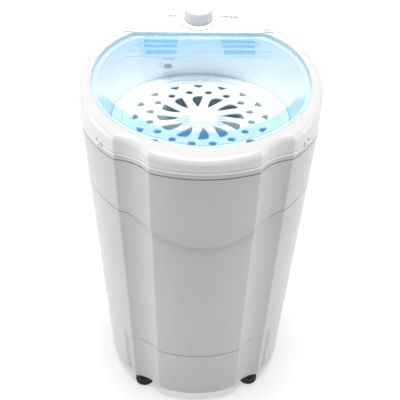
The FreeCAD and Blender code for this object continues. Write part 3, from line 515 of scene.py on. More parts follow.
@dataclass(frozen=True)
class ClearTint:
    """Clear tinted plastic: light passes through, and the body colour shows more where it is thick.

    Beyond the lid's curved front step the plate is bluer, as it is at the back; a faint haze lies to the left
    and right. Lengths are metres, as object coordinates are.
    """

    name: str
    tint: tuple[float, float, float]
    body: tuple[float, float, float]
    cover: float
    front_cover: float = 0.0
    side_haze: float = 0.0
    back_cover: float = 0.0
    rim_cover: float = 0.3
    front_body: tuple[float, float, float] = (0.14, 0.53, 0.93)
    haze_body: tuple[float, float, float] = (0.80, 0.90, 0.97)
    back_body: tuple[float, float, float] = (0.26, 0.62, 0.90)
    step_centre: float = 0.048
    step_radius: float = 0.153
    blue_radius: float = 0.172
    step_haze: float = 0.8

    def build(self) -> bpy.types.Material:
        """Make the material."""
        graph = Graph(self.name)
        across, along = graph.axis("X"), graph.axis("Y")
        shifted = along - self.step_centre
        radius = graph.node("ShaderNodeMath", {"operation": "SQRT"}, across * across + shifted * shifted)
        ahead = 1.0 - along.ramp(-0.06, -0.03)
        blue = radius.ramp(self.blue_radius - 0.0015, self.blue_radius + 0.0015) * ahead
        milky = radius.ramp(self.step_radius - 0.001, self.step_radius + 0.001) * ahead
        distance = graph.node("ShaderNodeMath", {"operation": "ABSOLUTE"}, across)
        haze = distance.ramp(0.046, 0.064) * (1.0 - along.ramp(-0.02, 0.03))
        haze = haze.maths("MAXIMUM", haze, milky * self.step_haze)
        through = graph.node("ShaderNodeBsdfTransparent", None, Color=(*self.tint, 1.0))
        soft = graph.noise(9.0) * 0.06 + 0.04
        tone = graph.mixed(graph.noise(4.0).ramp(0.3, 0.7), self.body, tuple(c * 0.93 for c in self.body))
        tone = graph.mixed(haze, tone, self.haze_body if self.side_haze else self.body)
        tone = graph.mixed(blue, tone, self.front_body if self.front_cover else self.body)
        back = along.ramp(0.015, 0.085)
        tone = graph.mixed(back, tone, self.back_body if self.back_cover else self.body)
        ripple = graph.bump(graph.noise(26.0, 1.0), 0.12, 0.002)
        solid = graph.node("ShaderNodeBsdfPrincipled", None, Base_Color=tone, Roughness=soft, Normal=ripple,
                           Specular_IOR_Level=0.7)
        edge = graph.node("ShaderNodeLayerWeight", None, Blend=0.3)
        rim = Term(graph, edge.socket.node.outputs["Facing"])
        zones = haze * self.side_haze + blue * self.front_cover + back * self.back_cover
        factor = zones + self.cover + rim * rim * self.rim_cover
        mix = graph.node("ShaderNodeMixShader", None, factor, through, solid)
        return graph.output(mix)


@dataclass(frozen=True)
class BrushedMetal:
    """Machined or plated metal with fine drawn lines and worn tone."""

    name: str
    colour: tuple[float, float, float]
    roughness: float

    def build(self) -> bpy.types.Material:
        """Make the material."""
        graph = Graph(self.name)
        worn = graph.noise(45.0, 4.0)
        tone = graph.mixed(worn.ramp(0.3, 0.75), self.colour, tuple(c * 0.72 for c in self.colour))
        rough = worn * 0.18 + (self.roughness - 0.08)
        normal = graph.bump(graph.noise(1600.0, 1.0), 0.06, 0.0001)
        shader = graph.node("ShaderNodeBsdfPrincipled", None, Base_Color=tone, Roughness=rough, Normal=normal,
                            Metallic=1.0)
        return graph.output(shader)


class Paintbox:
    """All finishes of the machine, made once."""

    def __init__(self) -> None:
        """Build every finish."""
        # The case's white plastic is set darker than the cover's white, as painted shade for the case's
        # front.
        self.white_painted_shade = MouldedPlastic("white_gloss_painted_shade", (0.64, 0.64, 0.64), (0.62, 0.62, 0.62), 0.30).build()
        self.knob = MouldedPlastic("white_knob", (0.95, 0.95, 0.95), (0.93, 0.93, 0.93), 0.25).build()
        self.cover = MouldedPlastic("white_cover", (0.83, 0.83, 0.827), (0.815, 0.815, 0.815), 0.26).build()
        self.disc = MouldedPlastic("disc_white", (0.90, 0.915, 0.92), (0.87, 0.89, 0.90), 0.28).build()
        self.outer_tub = MouldedPlastic("tub_pale", (0.62, 0.66, 0.68), (0.56, 0.6, 0.62), 0.4).build()
        self.tub = MouldedPlastic("tub_grey_teal", (0.11, 0.17, 0.185), (0.08, 0.13, 0.145), 0.38).build()
        self.black = MouldedPlastic("black_nylon", (0.02, 0.02, 0.022), (0.03, 0.03, 0.032), 0.45,
                                    0.2).build()
        self.rubber = MouldedPlastic("foot_rubber", (0.012, 0.012, 0.013), (0.022, 0.022, 0.024), 0.62, 0.5,
                                     420.0, 0.3).build()
        # Grey print ink, also used for the painted shade of the cover's hole and slit.
        self.print_and_shade_ink = MouldedPlastic("print_and_shade_grey", (0.13, 0.13, 0.14), (0.18, 0.18, 0.19), 0.5, 0.02).build()
        self.steel = BrushedMetal("bright_steel", (0.62, 0.63, 0.64), 0.28).build()
        self.zinc = BrushedMetal("zinc_sheet", (0.5, 0.52, 0.54), 0.4).build()
        self.alloy = BrushedMetal("cast_alloy", (0.6, 0.61, 0.62), 0.45).build()
        self.copper = BrushedMetal("motor_laminations", (0.34, 0.33, 0.33), 0.5).build()
        self.clear = ClearTint("clear_blue", (0.945, 0.985, 1.0), (0.55, 0.80, 0.95), cover=0.05,
                               front_cover=0.11, side_haze=0.13, back_cover=0.12).build()
        self.deep = ClearTint("clear_blue_thick", (0.80, 0.93, 0.985), (0.17, 0.44, 0.68), 0.24).build()
        self.edge = ClearTint("clear_blue_edge", (0.91, 0.965, 0.99), (0.52, 0.74, 0.88), 0.15).build()


@dataclass
class Dresser:
    """Gives pieces their finish and body."""

    paint: Paintbox
    shown: int = 0

    def dress(self, piece: bpy.types.Object, finish: bpy.types.Material, body: Body, slot: Slot,
              *replaced: str) -> bpy.types.Object:
        """Finish a new piece.

        Args:
            piece: Mesh object in its final place.
            finish: Material of the whole piece.
            body: Body that it rides on.
            slot: Record slot that it stands for; not used.
            *replaced: CAD nodes that it is shown instead of.

        Returns:
            The same object.
        """
        piece.data.materials.clear()
        piece.data.materials.append(finish)
        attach(piece, body.value)
        if replaced:
            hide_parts(*replaced)
        self.shown += 1
        LOG.info("%s: %d faces on %s", piece.name, len(piece.data.polygons), body.value)
        return piece

    def repaint(self, node: str, finish: bpy.types.Material) -> None:
        """Give a CAD node a better material."""
        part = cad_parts[node]
        part.data.materials.clear()
        part.data.materials.append(finish)


# ---------------------------------------------------------------- sub-assemblies


@dataclass
class Case:
    """Tapered fluted case: raised front panel, seam, groove, upper band, side panels and their slots."""

    dresser: Dresser
    low: float = 19.0
    high: float = 504.0
    radius_low: float = 158.0
    radius_high: float = 189.0
    wall: float = 3.0
    bottom_edge: float = 3.5
    band_radius: float = 189.5
    band_low: float = 505.6
    band_high: float = 516.0
    groove: float = 1.3
    step_centre: float = 376.0
    step_rise: float = 38.0
    step_width: float = 88.0
    step_proud: float = 2.0
    lip: float = 1.3
    undercut: float = 3.4
    seam: float = 122.0
    seam_depth: float = 1.0
    panel_low: float = 28.5
    panel_half: float = 99.3
    panel_shoulder: float = 112.0
    panel_top: float = 144.0
    panel_depth: float = 1.0
    slot_low: float = 33.0
    slot_high: float = 119.0
    slot_start: float = 48.4
    slot_end: float = 53.25
    slot_depth: float = 5.5
    panel_arch: float = 34.0
    step_arc_radius: float = 183.0
    step_arc_end: float = 60.0
    step_reach_low: float = 300.0
    step_reach_high: float = 470.0
    step_fade: float = 0.85
    base_inset: float = 6.0
    opening: float = 110.0
    columns: int = 720

    def radius(self, height: float) -> float:
        """Panel radius at a height."""
        share = (height - self.low) / (self.high - self.low)
        return self.radius_low + share * (self.radius_high - self.radius_low)

    def from_front(self, degrees: float) -> float:
        """Angle from the front, 0 to 180."""
        return abs((degrees + 180.0) % 360.0 - 180.0)

    def step_height(self, degrees: float) -> float:
        """Height of the raised panel's lower edge at an angle; flat away from the front."""
        turn = math.radians(min(self.from_front(degrees), self.step_arc_end))
        across = self.step_arc_radius * math.sin(turn)
        return self.step_centre + self.step_rise * (1.0 - math.exp(-(across / self.step_width) ** 2))

    def on_front(self, degrees: float) -> float:
        """1 on the front panel, fading to 0 across the flutes beside it."""
        return 1.0 - smooth_step(PLAN.flute_start + 4.0, PLAN.flute_end, self.from_front(degrees))

    def side_relief(self, degrees: float, height: float) -> float:
        """Depth of the side panel and of the slot at its upright edge, at a place on the case."""
        fold = min(self.from_front(degrees), 180.0 - self.from_front(degrees))
        depth = self.radius(height) * math.cos(math.radians(fold))
        rise = max(height - self.panel_shoulder, 0.0) / (self.panel_top - self.panel_shoulder)
        half = self.panel_half - self.panel_arch * (1.0 - math.sqrt(max(1.0 - min(rise, 1.0) ** 2, 0.0)))
        inside = smooth_step(0.0, 4.0, half - depth) * smooth_step(0.0, 3.0, self.panel_top - height)
        relief = self.panel_depth * inside * smooth_step(self.low, self.panel_low, height)
        if self.slot_low < height < self.slot_high and self.slot_start < fold < self.slot_end:
            relief += self.slot_depth * (self.slot_end - fold) / (self.slot_end - self.slot_start)
        return relief

    def outer_ring(self, level: float, raised: float = 0.0, lip: float = 0.0, cut: float = 0.0) -> Ring:
        """Ring of the outer wall whose height follows the front step near it.

        Args:
            level: Height in the middle of the front.
            raised: Share of the raised panel's thickness.
            lip: Extra flare of the raised panel's lower edge in millimetres.
            cut: Depth of a groove across the front panel in millimetres.

        Returns:
            The ring.
        """
        def ring(degrees: float) -> Vector:
            drop = self.step_height(degrees) - self.step_centre
            near = smooth_step(self.step_reach_low, self.step_centre, level)
            near *= 1.0 - smooth_step(self.step_centre, self.step_reach_high, level)
            height = level + drop * near
            fade = 1.0 - self.step_fade * smooth_step(self.step_centre, self.high, level)
            proud = (self.step_proud * fade * raised + lip - cut) * self.on_front(degrees)
            radius = self.radius(height) * PLAN.flute(degrees) + proud - self.side_relief(degrees, height)
            return polar(radius, degrees, height)
        return ring

    def band_ring(self, radius: float, height: float) -> Ring:
        """Level fluted ring."""
        return lambda degrees: polar(radius * PLAN.flute(degrees), degrees, height)

    def build(self) -> None:
        """Make the case."""
        centre, seam, edge = self.step_centre, self.seam, self.bottom_edge
        marks: dict[int, float] = {}
        rings = [self.band_ring(self.radius_low - edge, self.low),
                 self.band_ring(self.radius(self.low + 1.0) - edge * 0.45, self.low + 1.0),
                 self.band_ring(self.radius(self.low + 3.0) - edge * 0.1, self.low + 3.0)]
        ends = [self.slot_low - 0.3, self.slot_low + 0.3, self.slot_high - 0.3, self.slot_high + 0.3]
        levels = [26.0, 29.0, *ends[:2], 50.0, 70.0, 90.0, 105.0, 112.0, *ends[2:]]
        rings += [self.outer_ring(level) for level in levels]
        # Painted shade in the seam groove across the front.
        marks.update({len(rings) + 1: 0.45, len(rings) + 2: 0.45})
        rings += [self.outer_ring(seam - 0.7), self.outer_ring(seam - 0.5, cut=self.seam_depth),
                  self.outer_ring(seam + 0.5, cut=self.seam_depth), self.outer_ring(seam + 0.8, lip=0.3),
                  self.outer_ring(seam + 3.0)]
        levels = [128.0, 131.0, 134.0, 137.0, 139.0, 141.0, 143.0, 146.0, 160.0, 200.0, 240.0, 280.0, 310.0,
                  335.0, 355.0, centre - 14.0]
        rings += [self.outer_ring(level) for level in levels]
        # Painted shade in the groove under the raised panel's lower edge.
        marks.update({len(rings) + 1: 0.10, len(rings) + 2: 0.75, len(rings) + 3: 0.95, len(rings) + 4: 0.35})
        rings += [self.outer_ring(centre - 7.0, cut=0.5), self.outer_ring(centre - 3.0, cut=1.4),
                  self.outer_ring(centre - 1.6, cut=self.undercut),
                  self.outer_ring(centre - 0.4, cut=self.undercut),
                  self.outer_ring(centre - 0.2, 1.0, self.lip * 0.8),
                  self.outer_ring(centre + 0.4, 1.0, self.lip)]
        for rise, share in ((2.0, 0.85), (5.0, 0.5), (9.0, 0.2), (15.0, 0.0)):
            rings.append(self.outer_ring(centre + rise, 1.0, self.lip * share))
        levels = [405.0, 425.0, 445.0, 465.0, 485.0, self.high - 2.0]
        rings += [self.outer_ring(level, 1.0) for level in levels]
        top = self.radius_high
        # Painted shade in the neck groove under the upper band; painted highlight on the band's top bead.
        marks.update({len(rings) + 2: 0.3, len(rings) + 3: 0.3, len(rings) + 7: -1.0, len(rings) + 8: -1.0,
                      len(rings) + 9: -1.0})
        sections = [(top, self.high - 0.5), (top - 0.4, self.high), (top - self.groove, self.high + 0.1),
                    (top - self.groove, self.band_low - 0.1), (self.band_radius - 0.4, self.band_low),
                    (self.band_radius, self.band_low + 0.5), (self.band_radius, self.band_high - 4.2),
                    (self.band_radius - 0.2, self.band_high - 3.4),
                    (self.band_radius - 0.5, self.band_high - 0.9),
                    (self.band_radius - 1.3, self.band_high), (self.band_radius - 5.0, self.band_high),
                    (top - self.base_inset, self.high),
                    (self.radius_low - self.wall - self.base_inset, self.low + self.wall),
                    (self.opening, self.low + self.wall), (self.opening, self.low)]
        rings += [self.band_ring(radius, height) for radius, height in sections]
        shell = swept_shell("case_shell", rings, self.columns, angle=24.0, painted_shade_highlight=marks)
        self.dresser.dress(shell, self.dresser.paint.white_painted_shade, Body.CABINET, Slot.WHITE, "outer_case")


@dataclass
class Cover:
    """Slanted top cover: fluted skirt, rolled edge, deck, lid seat and funnel."""

    dresser: Dresser
    low: float = 516.2
    radius_low: float = 189.2
    flare: float = 0.4
    edge: float = 10.0
    wall: float = 3.0
    gap: float = 0.7
    seat_depth: float = 7.0
    seat_width: float = 8.0
    mouth_radius: float = 143.5
    mouth_height: float = 501.0
    lip_low: float = 490.0
    clip_turn: float = 56.0
    slit_turn: float = 52.4
    funnel_shares: tuple[float, ...] = (0.0, 0.2, 0.4, 0.6, 0.8, 0.95, 1.0)
    funnel_painted_light: float = -0.9
    edge_steps: int = 8
    lip_wall: float = 2.4
    columns: int = 600

    def outer(self, inset: float, drop: float) -> Ring:
        """Ring on the outer wall, inset inwards and under the slanted plane."""
        def ring(degrees: float) -> Vector:
            radius = (self.radius_low + self.flare) * PLAN.flute(degrees) - inset
            spot = polar(radius, degrees)
            return PLAN.on_deck(spot.x, spot.y, -drop)
        return ring

    def skirt(self, inset: float, share: float) -> Ring:
        """Ring on the skirt between its lower edge and the rolled edge."""
        def ring(degrees: float) -> Vector:
            radius = (self.radius_low + self.flare * share) * PLAN.flute(degrees) - inset
            spot = polar(radius, degrees)
            top = PLAN.deck(spot.y) - self.edge
            return Vector((spot.x, spot.y, self.low + 0.6 + share * (top - self.low - 0.6)))
        return ring

    def inner(self, grow: float, drop: float) -> Ring:
        """Ring that follows the lid's outline at an offset."""
        def ring(degrees: float) -> Vector:
            spot = polar(LID.radius(degrees) + grow, degrees)
            return PLAN.on_deck(spot.x, spot.y, -drop)
        return ring

    def funnel(self, share: float, grow: float) -> Ring:
        """Ring of the funnel between the lid seat and the round mouth."""
        def ring(degrees: float) -> Vector:
            start = self.inner(grow - self.seat_width, self.seat_depth + 1.5)(degrees)
            end = polar(self.mouth_radius + grow, degrees, self.mouth_height)
            return start.lerp(end, share)
        return ring

    def build(self) -> None:
        """Make the cover."""
        rings = [lambda d: polar((self.radius_low) * PLAN.flute(d) - self.wall, d, self.low + 0.3),
                 lambda d: polar((self.radius_low) * PLAN.flute(d) - 0.6, d, self.low)]
        rings += [self.skirt(0.0, share) for share in (0.0, 0.25, 0.5, 0.75, 1.0)]
        for index in range(1, self.edge_steps + 1):
            turn = math.radians(90.0 * index / self.edge_steps)
            rings.append(self.outer(self.edge * (1 - math.cos(turn)), self.edge * (1 - math.sin(turn))))
        rings += [self.inner(self.gap + 2.4, 0.0), self.inner(self.gap + 1.0, 0.15),
                  self.inner(self.gap + 0.25, 0.6), self.inner(self.gap, 1.4),
                  self.inner(self.gap, self.seat_depth - 0.4), self.inner(self.gap - 0.4, self.seat_depth),
                  self.inner(-self.seat_width + 1.2, self.seat_depth),
                  self.inner(-self.seat_width + 0.3, self.seat_depth + 0.4)]
        # Painted light: the funnel's rings get a negative mark, which turns their colour near white.
        marks = {len(rings) + index: self.funnel_painted_light for index in range(len(self.funnel_shares) + 1)}
        rings += [self.funnel(share, 0.0) for share in self.funnel_shares]
        rings += turned([(self.mouth_radius, self.lip_low),
                         (self.mouth_radius + self.lip_wall, self.lip_low)])
        rings += [self.funnel(share, self.wall) for share in (1.0, 0.5, 0.0)]
        rings += [self.inner(self.gap + self.wall, self.seat_depth + self.wall),
                  self.inner(self.gap + self.wall, self.wall + 1.0), self.outer(self.edge, self.wall),
                  self.outer(self.wall + 1.5, self.edge)]
        shell = swept_shell("cover_shell", rings, self.columns, angle=34.0, painted_shade_highlight=marks)
        self.dresser.dress(shell, self.dresser.paint.cover, Body.CABINET, Slot.WHITE, "top_cover")
        # Painted shade: dark bars where the skirt has a release hole and a slit.
        self.dresser.dress(self.hole_shade(), self.dresser.paint.print_and_shade_ink, Body.CABINET, Slot.BLACK)

    def hole_shade(self) -> bpy.types.Object:
        """Dark bars at either side of the skirt, painted shade standing in for a small release hole and a
        slit.
        """
        parts = []
        for side in (-1, 1):
            for turn, height, size in ((self.clip_turn, 521.0, (1.0, 3.0, 3.0)),
                                       (self.slit_turn, 518.0, (1.0, 0.8, 9.0))):
                mark = rounded_bar("clip", size, 0.3, 2)
                spot = polar(self.radius_low * PLAN.flute(turn) + 0.1, side * turn, height)
                way = Matrix.Rotation(math.radians(side * turn - 90.0), 4, "Z")
                parts.append(placed(mark, Matrix.Translation(spot * MM) @ way))
        return joined("cover_hole_shade", parts)


@dataclass
class Lid:
    """Clear lid: rolled rim, thin plate, pill-shaped grip, rib blocks, step beads and hinge knuckles."""

    dresser: Dresser
    rim: float = 6.6
    proud: float = 0.6
    plate: float = 2.6
    band: float = 8.0
    dish: float = 1.4
    grip_y: float = -92.0
    grip_half: float = 37.5
    grip_round: float = 15.0
    grip_depth: float = 8.0
    columns: int = 360
    step_radius: float = 153.0
    step_centre: float = 48.0
    beads: tuple[tuple[float, float], ...] = ((87.0, 109.0), (70.0, 117.0), (55.0, 123.0))
    block_x: float = 63.5
    tooth_pitch: float = 4.0
    teeth: int = 14
    knuckle_start: float = 108.0
    knuckle_length: float = 8.0
    knuckle_radius: float = 3.7
    hinge_y: float = 124.5

    def ring(self, grow: float, offset: float) -> Ring:
        """Ring that follows the outline, seen from the grip; the rim is narrower at front and back."""
        def rule(degrees: float) -> Vector:
            fold = abs((degrees + 180.0) % 360.0 - 180.0)
            narrow = 0.55 * (1.0 - smooth_step(10.0, 60.0, fold)) + 0.45 * smooth_step(140.0, 158.0, fold)
            inset = grow * (1.0 - narrow) if -12.0 < grow < -3.0 else grow
            spot = polar(LID.radius(degrees, self.grip_y) + inset, degrees)
            return PLAN.on_deck(spot.x, spot.y + self.grip_y, offset)
        return rule

    def pill(self, grow: float, offset: float) -> Ring:
        """Ring that follows the grip's pill outline."""
        def rule(degrees: float) -> Vector:
            radius, reach = self.grip_round + grow, self.grip_half - self.grip_round
            way = polar(1.0, degrees)
            if abs(way.y) > 1e-9 and abs(way.x / way.y) * radius <= reach:
                spot = way * (radius / abs(way.y))
            else:
                across = reach * abs(way.x)
                spot = way * (across + math.sqrt(max(across ** 2 - reach ** 2 + radius ** 2, 0.0)))
            return PLAN.on_deck(spot.x, spot.y + self.grip_y, offset)
        return rule

    def build(self) -> None:
        """Make the lid's pieces."""
        paint = self.dresser.paint
        top, floor = self.proud, -self.grip_depth
        rim = swept_shell("lid_rim", [
            self.ring(-2.2, -self.rim), self.ring(-0.4, -self.rim), self.ring(0.0, -self.rim + 0.4),
            self.ring(0.0, top - 0.8), self.ring(-0.3, top - 0.2), self.ring(-1.0, top),
            self.ring(-self.band + 0.8, top), self.ring(-self.band, top - 0.3),
            self.ring(-self.band - 0.4, top - self.dish + 0.2), self.ring(-self.band - 0.4, top - 2.2),
            self.ring(-2.6, top - 2.2), self.ring(-2.2, top - 2.8)], self.columns)
        self.clear_piece(rim, paint.edge, "lid")
        low = top - self.dish
        plate = swept_shell("lid_plate", [
            self.ring(-self.band - 0.45, low - self.plate + 1.4), self.ring(-self.band - 0.45, low),
            self.ring(-40.0, low), self.pill(3.0, low), self.pill(1.2, low - 0.2), self.pill(0.3, low - 0.9),
            self.pill(0.0, low - 2.0), self.pill(-0.6, floor + 3.0), self.pill(-2.0, floor + 1.0),
            self.pill(-4.5, floor), self.pill(-10.0, floor), self.pill(-10.0, floor - 1.6),
            self.pill(-3.5, floor - 1.6), self.pill(-0.5, floor - 0.4), self.pill(1.0, floor + 2.0),
            self.pill(1.8, low - 3.2), self.pill(4.0, low - self.plate + 1.2),
            self.ring(-40.0, low - self.plate + 1.2)], self.columns)
        self.clear_piece(plate, paint.clear, "lid")
        well = swept_shell("lid_grip_floor", [self.pill(-10.0, floor - 1.6), self.pill(-10.0, floor)],
                           self.columns, closed=False, caps=True)
        self.clear_piece(well, paint.clear, "lid")
        self.clear_piece(self.step_beads(low), paint.edge, "lid")
        for side, word in ((-1, "left"), (1, "right")):
            self.clear_piece(self.rib_block(side, word, low), paint.deep, "lid")
            self.clear_piece(self.grip_ribs(side, word, low), paint.deep, "lid")
            self.clear_piece(self.knuckle(side, word), paint.edge, "lid")

    def clear_piece(self, piece: bpy.types.Object, finish: bpy.types.Material, *replaced: str) -> None:
        """Finish a clear piece of the lid, which casts no shadow on what lies under it.

        Args:
            piece: Mesh object in its final place.
            finish: Material of the whole piece.
            *replaced: CAD nodes that it is shown instead of.
        """
        piece.visible_shadow = False
        self.dresser.dress(piece, finish, Body.LID, Slot.BLUE, *replaced)

    def deck_bar(self, name: str, x: float, y: float, size: tuple[float, float, float], low: float,
                 round_off: float = 0.5) -> bpy.types.Object:
        """Rounded bar standing on a level over the slanted plane."""
        bar = rounded_bar(name, size, round_off, 2)
        return placed(bar, deck_matrix(x, y, low + size[2] / 2))

    def step_beads(self, low: float) -> bpy.types.Object:
        """Long straight beads at the back and the curved bead across the front."""
        bars = [self.deck_bar(f"bead_{index}", 0.0, y, (2 * half, 1.5, 1.0), low - 0.1, 0.45)
                for index, (y, half) in enumerate(self.beads)]
        for y in (92.0, 104.0):
            bars.append(self.deck_bar("back_bead", 0.0, y, (196.0, 1.6, 0.9), low - 0.1, 0.4))

        def curved(offset: float, lift: float) -> Callable[[float], Vector]:
            def rule(degrees: float) -> Vector:
                turn = 48.0 * math.sin(math.radians(degrees))
                side = 0.8 * math.cos(math.radians(degrees))
                spot = polar(self.step_radius + offset * side, turn)
                return PLAN.on_deck(spot.x, spot.y + self.step_centre, lift)
            return rule
        bars.append(swept_shell("front_bead", [curved(1.0, low - 0.1), curved(1.0, low + 0.5),
                                               curved(0.4, low + 0.9)], 180, closed=False, caps=True))
        return joined("lid_step_beads", bars)

    def rib_block(self, side: int, word: str, low: float) -> bpy.types.Object:
        """Block of slats and fine teeth near the back edge, on one side."""
        middle = side * self.block_x
        bars = [self.deck_bar("slat", middle, 67.0, (51.0, 9.0, 1.7), low - 0.2),
                self.deck_bar("slat", middle, 83.5, (53.0, 6.0, 1.7), low - 0.2),
                self.deck_bar("slat", middle, 97.0, (56.0, 6.0, 0.9), low - 0.2)]
        for index in range(self.teeth):
            x = middle + (index - (self.teeth - 1) / 2) * self.tooth_pitch
            bars.append(self.deck_bar("tooth", x, 109.0, (1.5, 8.0, 1.1), low - 0.2, 0.35))
            bars.append(self.deck_bar("groove_rib", x, 97.0, (1.1, 5.6, 1.5), low - 0.2, 0.3))
        return joined(f"lid_rib_block_{word}", bars)

    def grip_ribs(self, side: int, word: str, low: float) -> bpy.types.Object:
        """Curved finger ribs in one rounded end of the grip."""
        bars = []
        for index, y in enumerate((-9.0, -3.0, 3.0, 9.0)):
            reach = math.sqrt(max(13.0 ** 2 - y ** 2, 0.0))
            x = side * (22.0 + reach / 2 - 1.0)
            bars.append(self.deck_bar(f"grip_rib_{index}", x, self.grip_y + y, (reach, 1.8, 1.6),
                                      -self.grip_depth - 0.1, 0.5))
        return joined(f"lid_grip_ribs_{word}", bars)

    def knuckle(self, side: int, word: str) -> bpy.types.Object:
        """Rolled hinge knuckle at one end of the back edge."""
        axis_y, radius = self.hinge_y, self.knuckle_radius
        start, length = self.knuckle_start, self.knuckle_length
        profile = [(0.2, 0.0), (radius - 0.6, 0.0), (radius, 0.6), (radius, length - 0.6),
                   (radius - 0.6, length), (0.2, length)]
        piece = swept_shell(f"lid_knuckle_{word}", turned(profile), 40, closed=False, caps=True)
        shift = start if side > 0 else -start - length
        matrix = Matrix.Translation((shift * MM, axis_y * MM, (PLAN.deck(axis_y) + 0.5) * MM))
        return placed(piece, matrix @ Matrix.Rotation(math.radians(90.0), 4, "Y"))


@dataclass
class Basket:
    """Mouth of the spin basket: the balance ring and the pierced disc that lies in it."""

    dresser: Dresser
    disc_radius: float = 125.0
    disc_low: float = 495.0
    disc_thickness: float = 3.0
    disc_round: float = 0.55
    petals: int = 12
    sails: int = 16
    dot_ring: float = 82.0
    dot_radius: float = 6.15
    rim_profile: tuple[tuple[float, float], ...] = (
        (119.0, 478.0), (119.0, 494.2), (119.5, 494.7), (125.4, 494.7), (125.4, 498.4), (126.0, 499.4),
        (127.4, 500.0), (138.0, 500.2), (141.0, 500.2), (142.0, 499.4), (142.3, 498.0), (142.3, 488.0),
        (141.0, 486.0), (141.0, 480.0), (139.0, 478.0))

    def circle(self, centre: Vector, radius: float, points: int) -> list[Vector]:
        """Closed round outline."""
        return [centre + polar(radius, 360.0 * index / points) for index in range(points)]

    def curve(self, start: Vector, middle: Vector, end: Vector, points: int) -> list[Vector]:
        """Places along a bowed line from start to end that passes near the middle, without the end."""
        control = middle * 2 - (start + end) / 2
        steps = [index / points for index in range(points)]
        return [start * (1 - t) ** 2 + control * 2 * t * (1 - t) + end * t * t for t in steps]

    def petal(self, turn: float) -> list[Vector]:
        """Curved leaf with a fine inner tip and a sharp outer corner on its clockwise side."""
        tip, corner, shoulder = polar(32.0, turn + 1.5), polar(69.0, turn - 8.6), polar(64.5, turn + 6.9)
        return (self.curve(tip, polar(52.0, turn - 6.2), corner, 8)
                + self.curve(corner, polar(69.0, turn - 0.4), shoulder, 7)
                + self.curve(shoulder, polar(49.0, turn + 8.4), tip, 8))

    def sail(self, turn: float) -> list[Vector]:
        """Rounded triangle with its broad side outwards."""
        tip, left, right = polar(97.5, turn - 0.6), polar(106.5, turn - 4.9), polar(107.5, turn + 4.9)
        return (self.curve(tip, polar(101.4, turn - 3.0), left, 5)
                + self.curve(left, polar(108.5, turn + 0.4), right, 6)
                + self.curve(right, polar(100.6, turn + 2.7), tip, 5))

    def build(self) -> None:
        """Make the disc and the balance ring."""
        outlines = [self.circle(Vector(), self.disc_radius, 180)]
        outlines += [self.petal(3.0 + 360.0 / self.petals * index) for index in range(self.petals)]
        pitch = 360.0 / self.sails
        outlines += [self.circle(polar(self.dot_ring, pitch * (index + 0.5)), self.dot_radius, 24)
                     for index in range(self.sails)]
        outlines += [self.sail(pitch * index) for index in range(self.sails)]
        disc = spline_plate("pierced_disc", outlines, self.disc_thickness, self.disc_round, self.disc_low)
        dresser, paint = self.dresser, self.dresser.paint
        dresser.dress(disc, paint.disc, Body.BASKET_COVER, Slot.BASKET, "basket_cover")
        ring = swept_shell("basket_rim", turned(self.rim_profile), 240)
        dresser.dress(ring, paint.disc, Body.SPINNER, Slot.BASKET, "balance_ring")


@dataclass
class Dial:
    """Timer knob with fine ribs, and the printed marks round it."""

    dresser: Dresser
    centre: float = 163.0
    radius: float = 24.0
    height: float = 20.0
    ribs: int = 36
    base: float = 1.8

    def rib(self, share: float) -> float:
        """Depth of the rib pattern as a share of its full depth."""
        return 0.5 + 0.5 * math.cos(2 * math.pi * share)

    def wall(self, radius: float, height: float, depth: float) -> Ring:
        """Ribbed ring of the knob's side."""
        def rule(degrees: float) -> Vector:
            groove = self.rib(degrees * self.ribs / 360.0) ** 2
            return polar(radius - depth * groove, degrees, height)
        return rule

    def build(self) -> None:
        """Make the knob and the dial marks."""
        top = self.height
        rings = [self.wall(self.radius - 0.6, 0.0, 0.0), self.wall(self.radius, 0.6, 0.2),
                 self.wall(self.radius, 2.0, 1.2), self.wall(self.radius - 0.7, top * 0.5, 1.3),
                 self.wall(self.radius - 1.3, top - 5.0, 1.2), self.wall(self.radius - 1.7, top - 3.2, 0.4)]
        rings += turned([(21.9, top - 2.2), (21.4, top - 1.2), (20.4, top - 0.4), (19.0, top),
                         (12.0, top + 0.35), (4.0, top + 0.5), (0.4, top + 0.5)])
        knob = swept_shell("ribbed_knob", rings, 432, closed=False, caps=True, angle=50.0)
        placed(knob, deck_matrix(0.0, self.centre, self.base))
        pointer = rounded_bar("pointer", (2.0, 13.0, 0.8), 0.35)
        placed(pointer, deck_matrix(0.0, self.centre, self.base) @ Matrix.Translation((0, -0.0135, 0.0205)))
        dresser, paint = self.dresser, self.dresser.paint
        dresser.dress(knob, paint.knob, Body.KNOB, Slot.WHITE, "timer_knob")
        dresser.dress(pointer, paint.knob, Body.KNOB, Slot.WHITE)
        dresser.dress(self.marks(), paint.print_and_shade_ink, Body.CABINET, Slot.WHITE)

    def marks(self) -> bpy.types.Object:
        """Printed dots round the knob and short dashes beside it."""
        parts = []
        for degrees in (-75.0, -48.0, 0.0, 48.0, 75.0, 100.0, -100.0):
            dot = swept_shell("dot", turned([(0.1, 0.16), (0.9, 0.16), (1.0, 0.0), (0.1, 0.0)]), 16,
                              closed=False, caps=True)
            spot = polar(29.5, degrees)
            parts.append(placed(dot, deck_matrix(spot.x, self.centre + spot.y, 1.2)))
        for x, y, length in ((-46.0, 170.0, 6.0), (-39.0, 170.0, 4.0), (40.0, 170.0, 4.0), (47.0, 169.0, 6.0),
                             (55.0, 168.0, 5.0), (63.0, 167.0, 6.0)):
            dash = rounded_bar("dash", (length, 2.0, 0.16), 0.05, 1)
            parts.append(placed(dash, deck_matrix(x, y, 0.1)))
        return joined("dial_marks", parts)


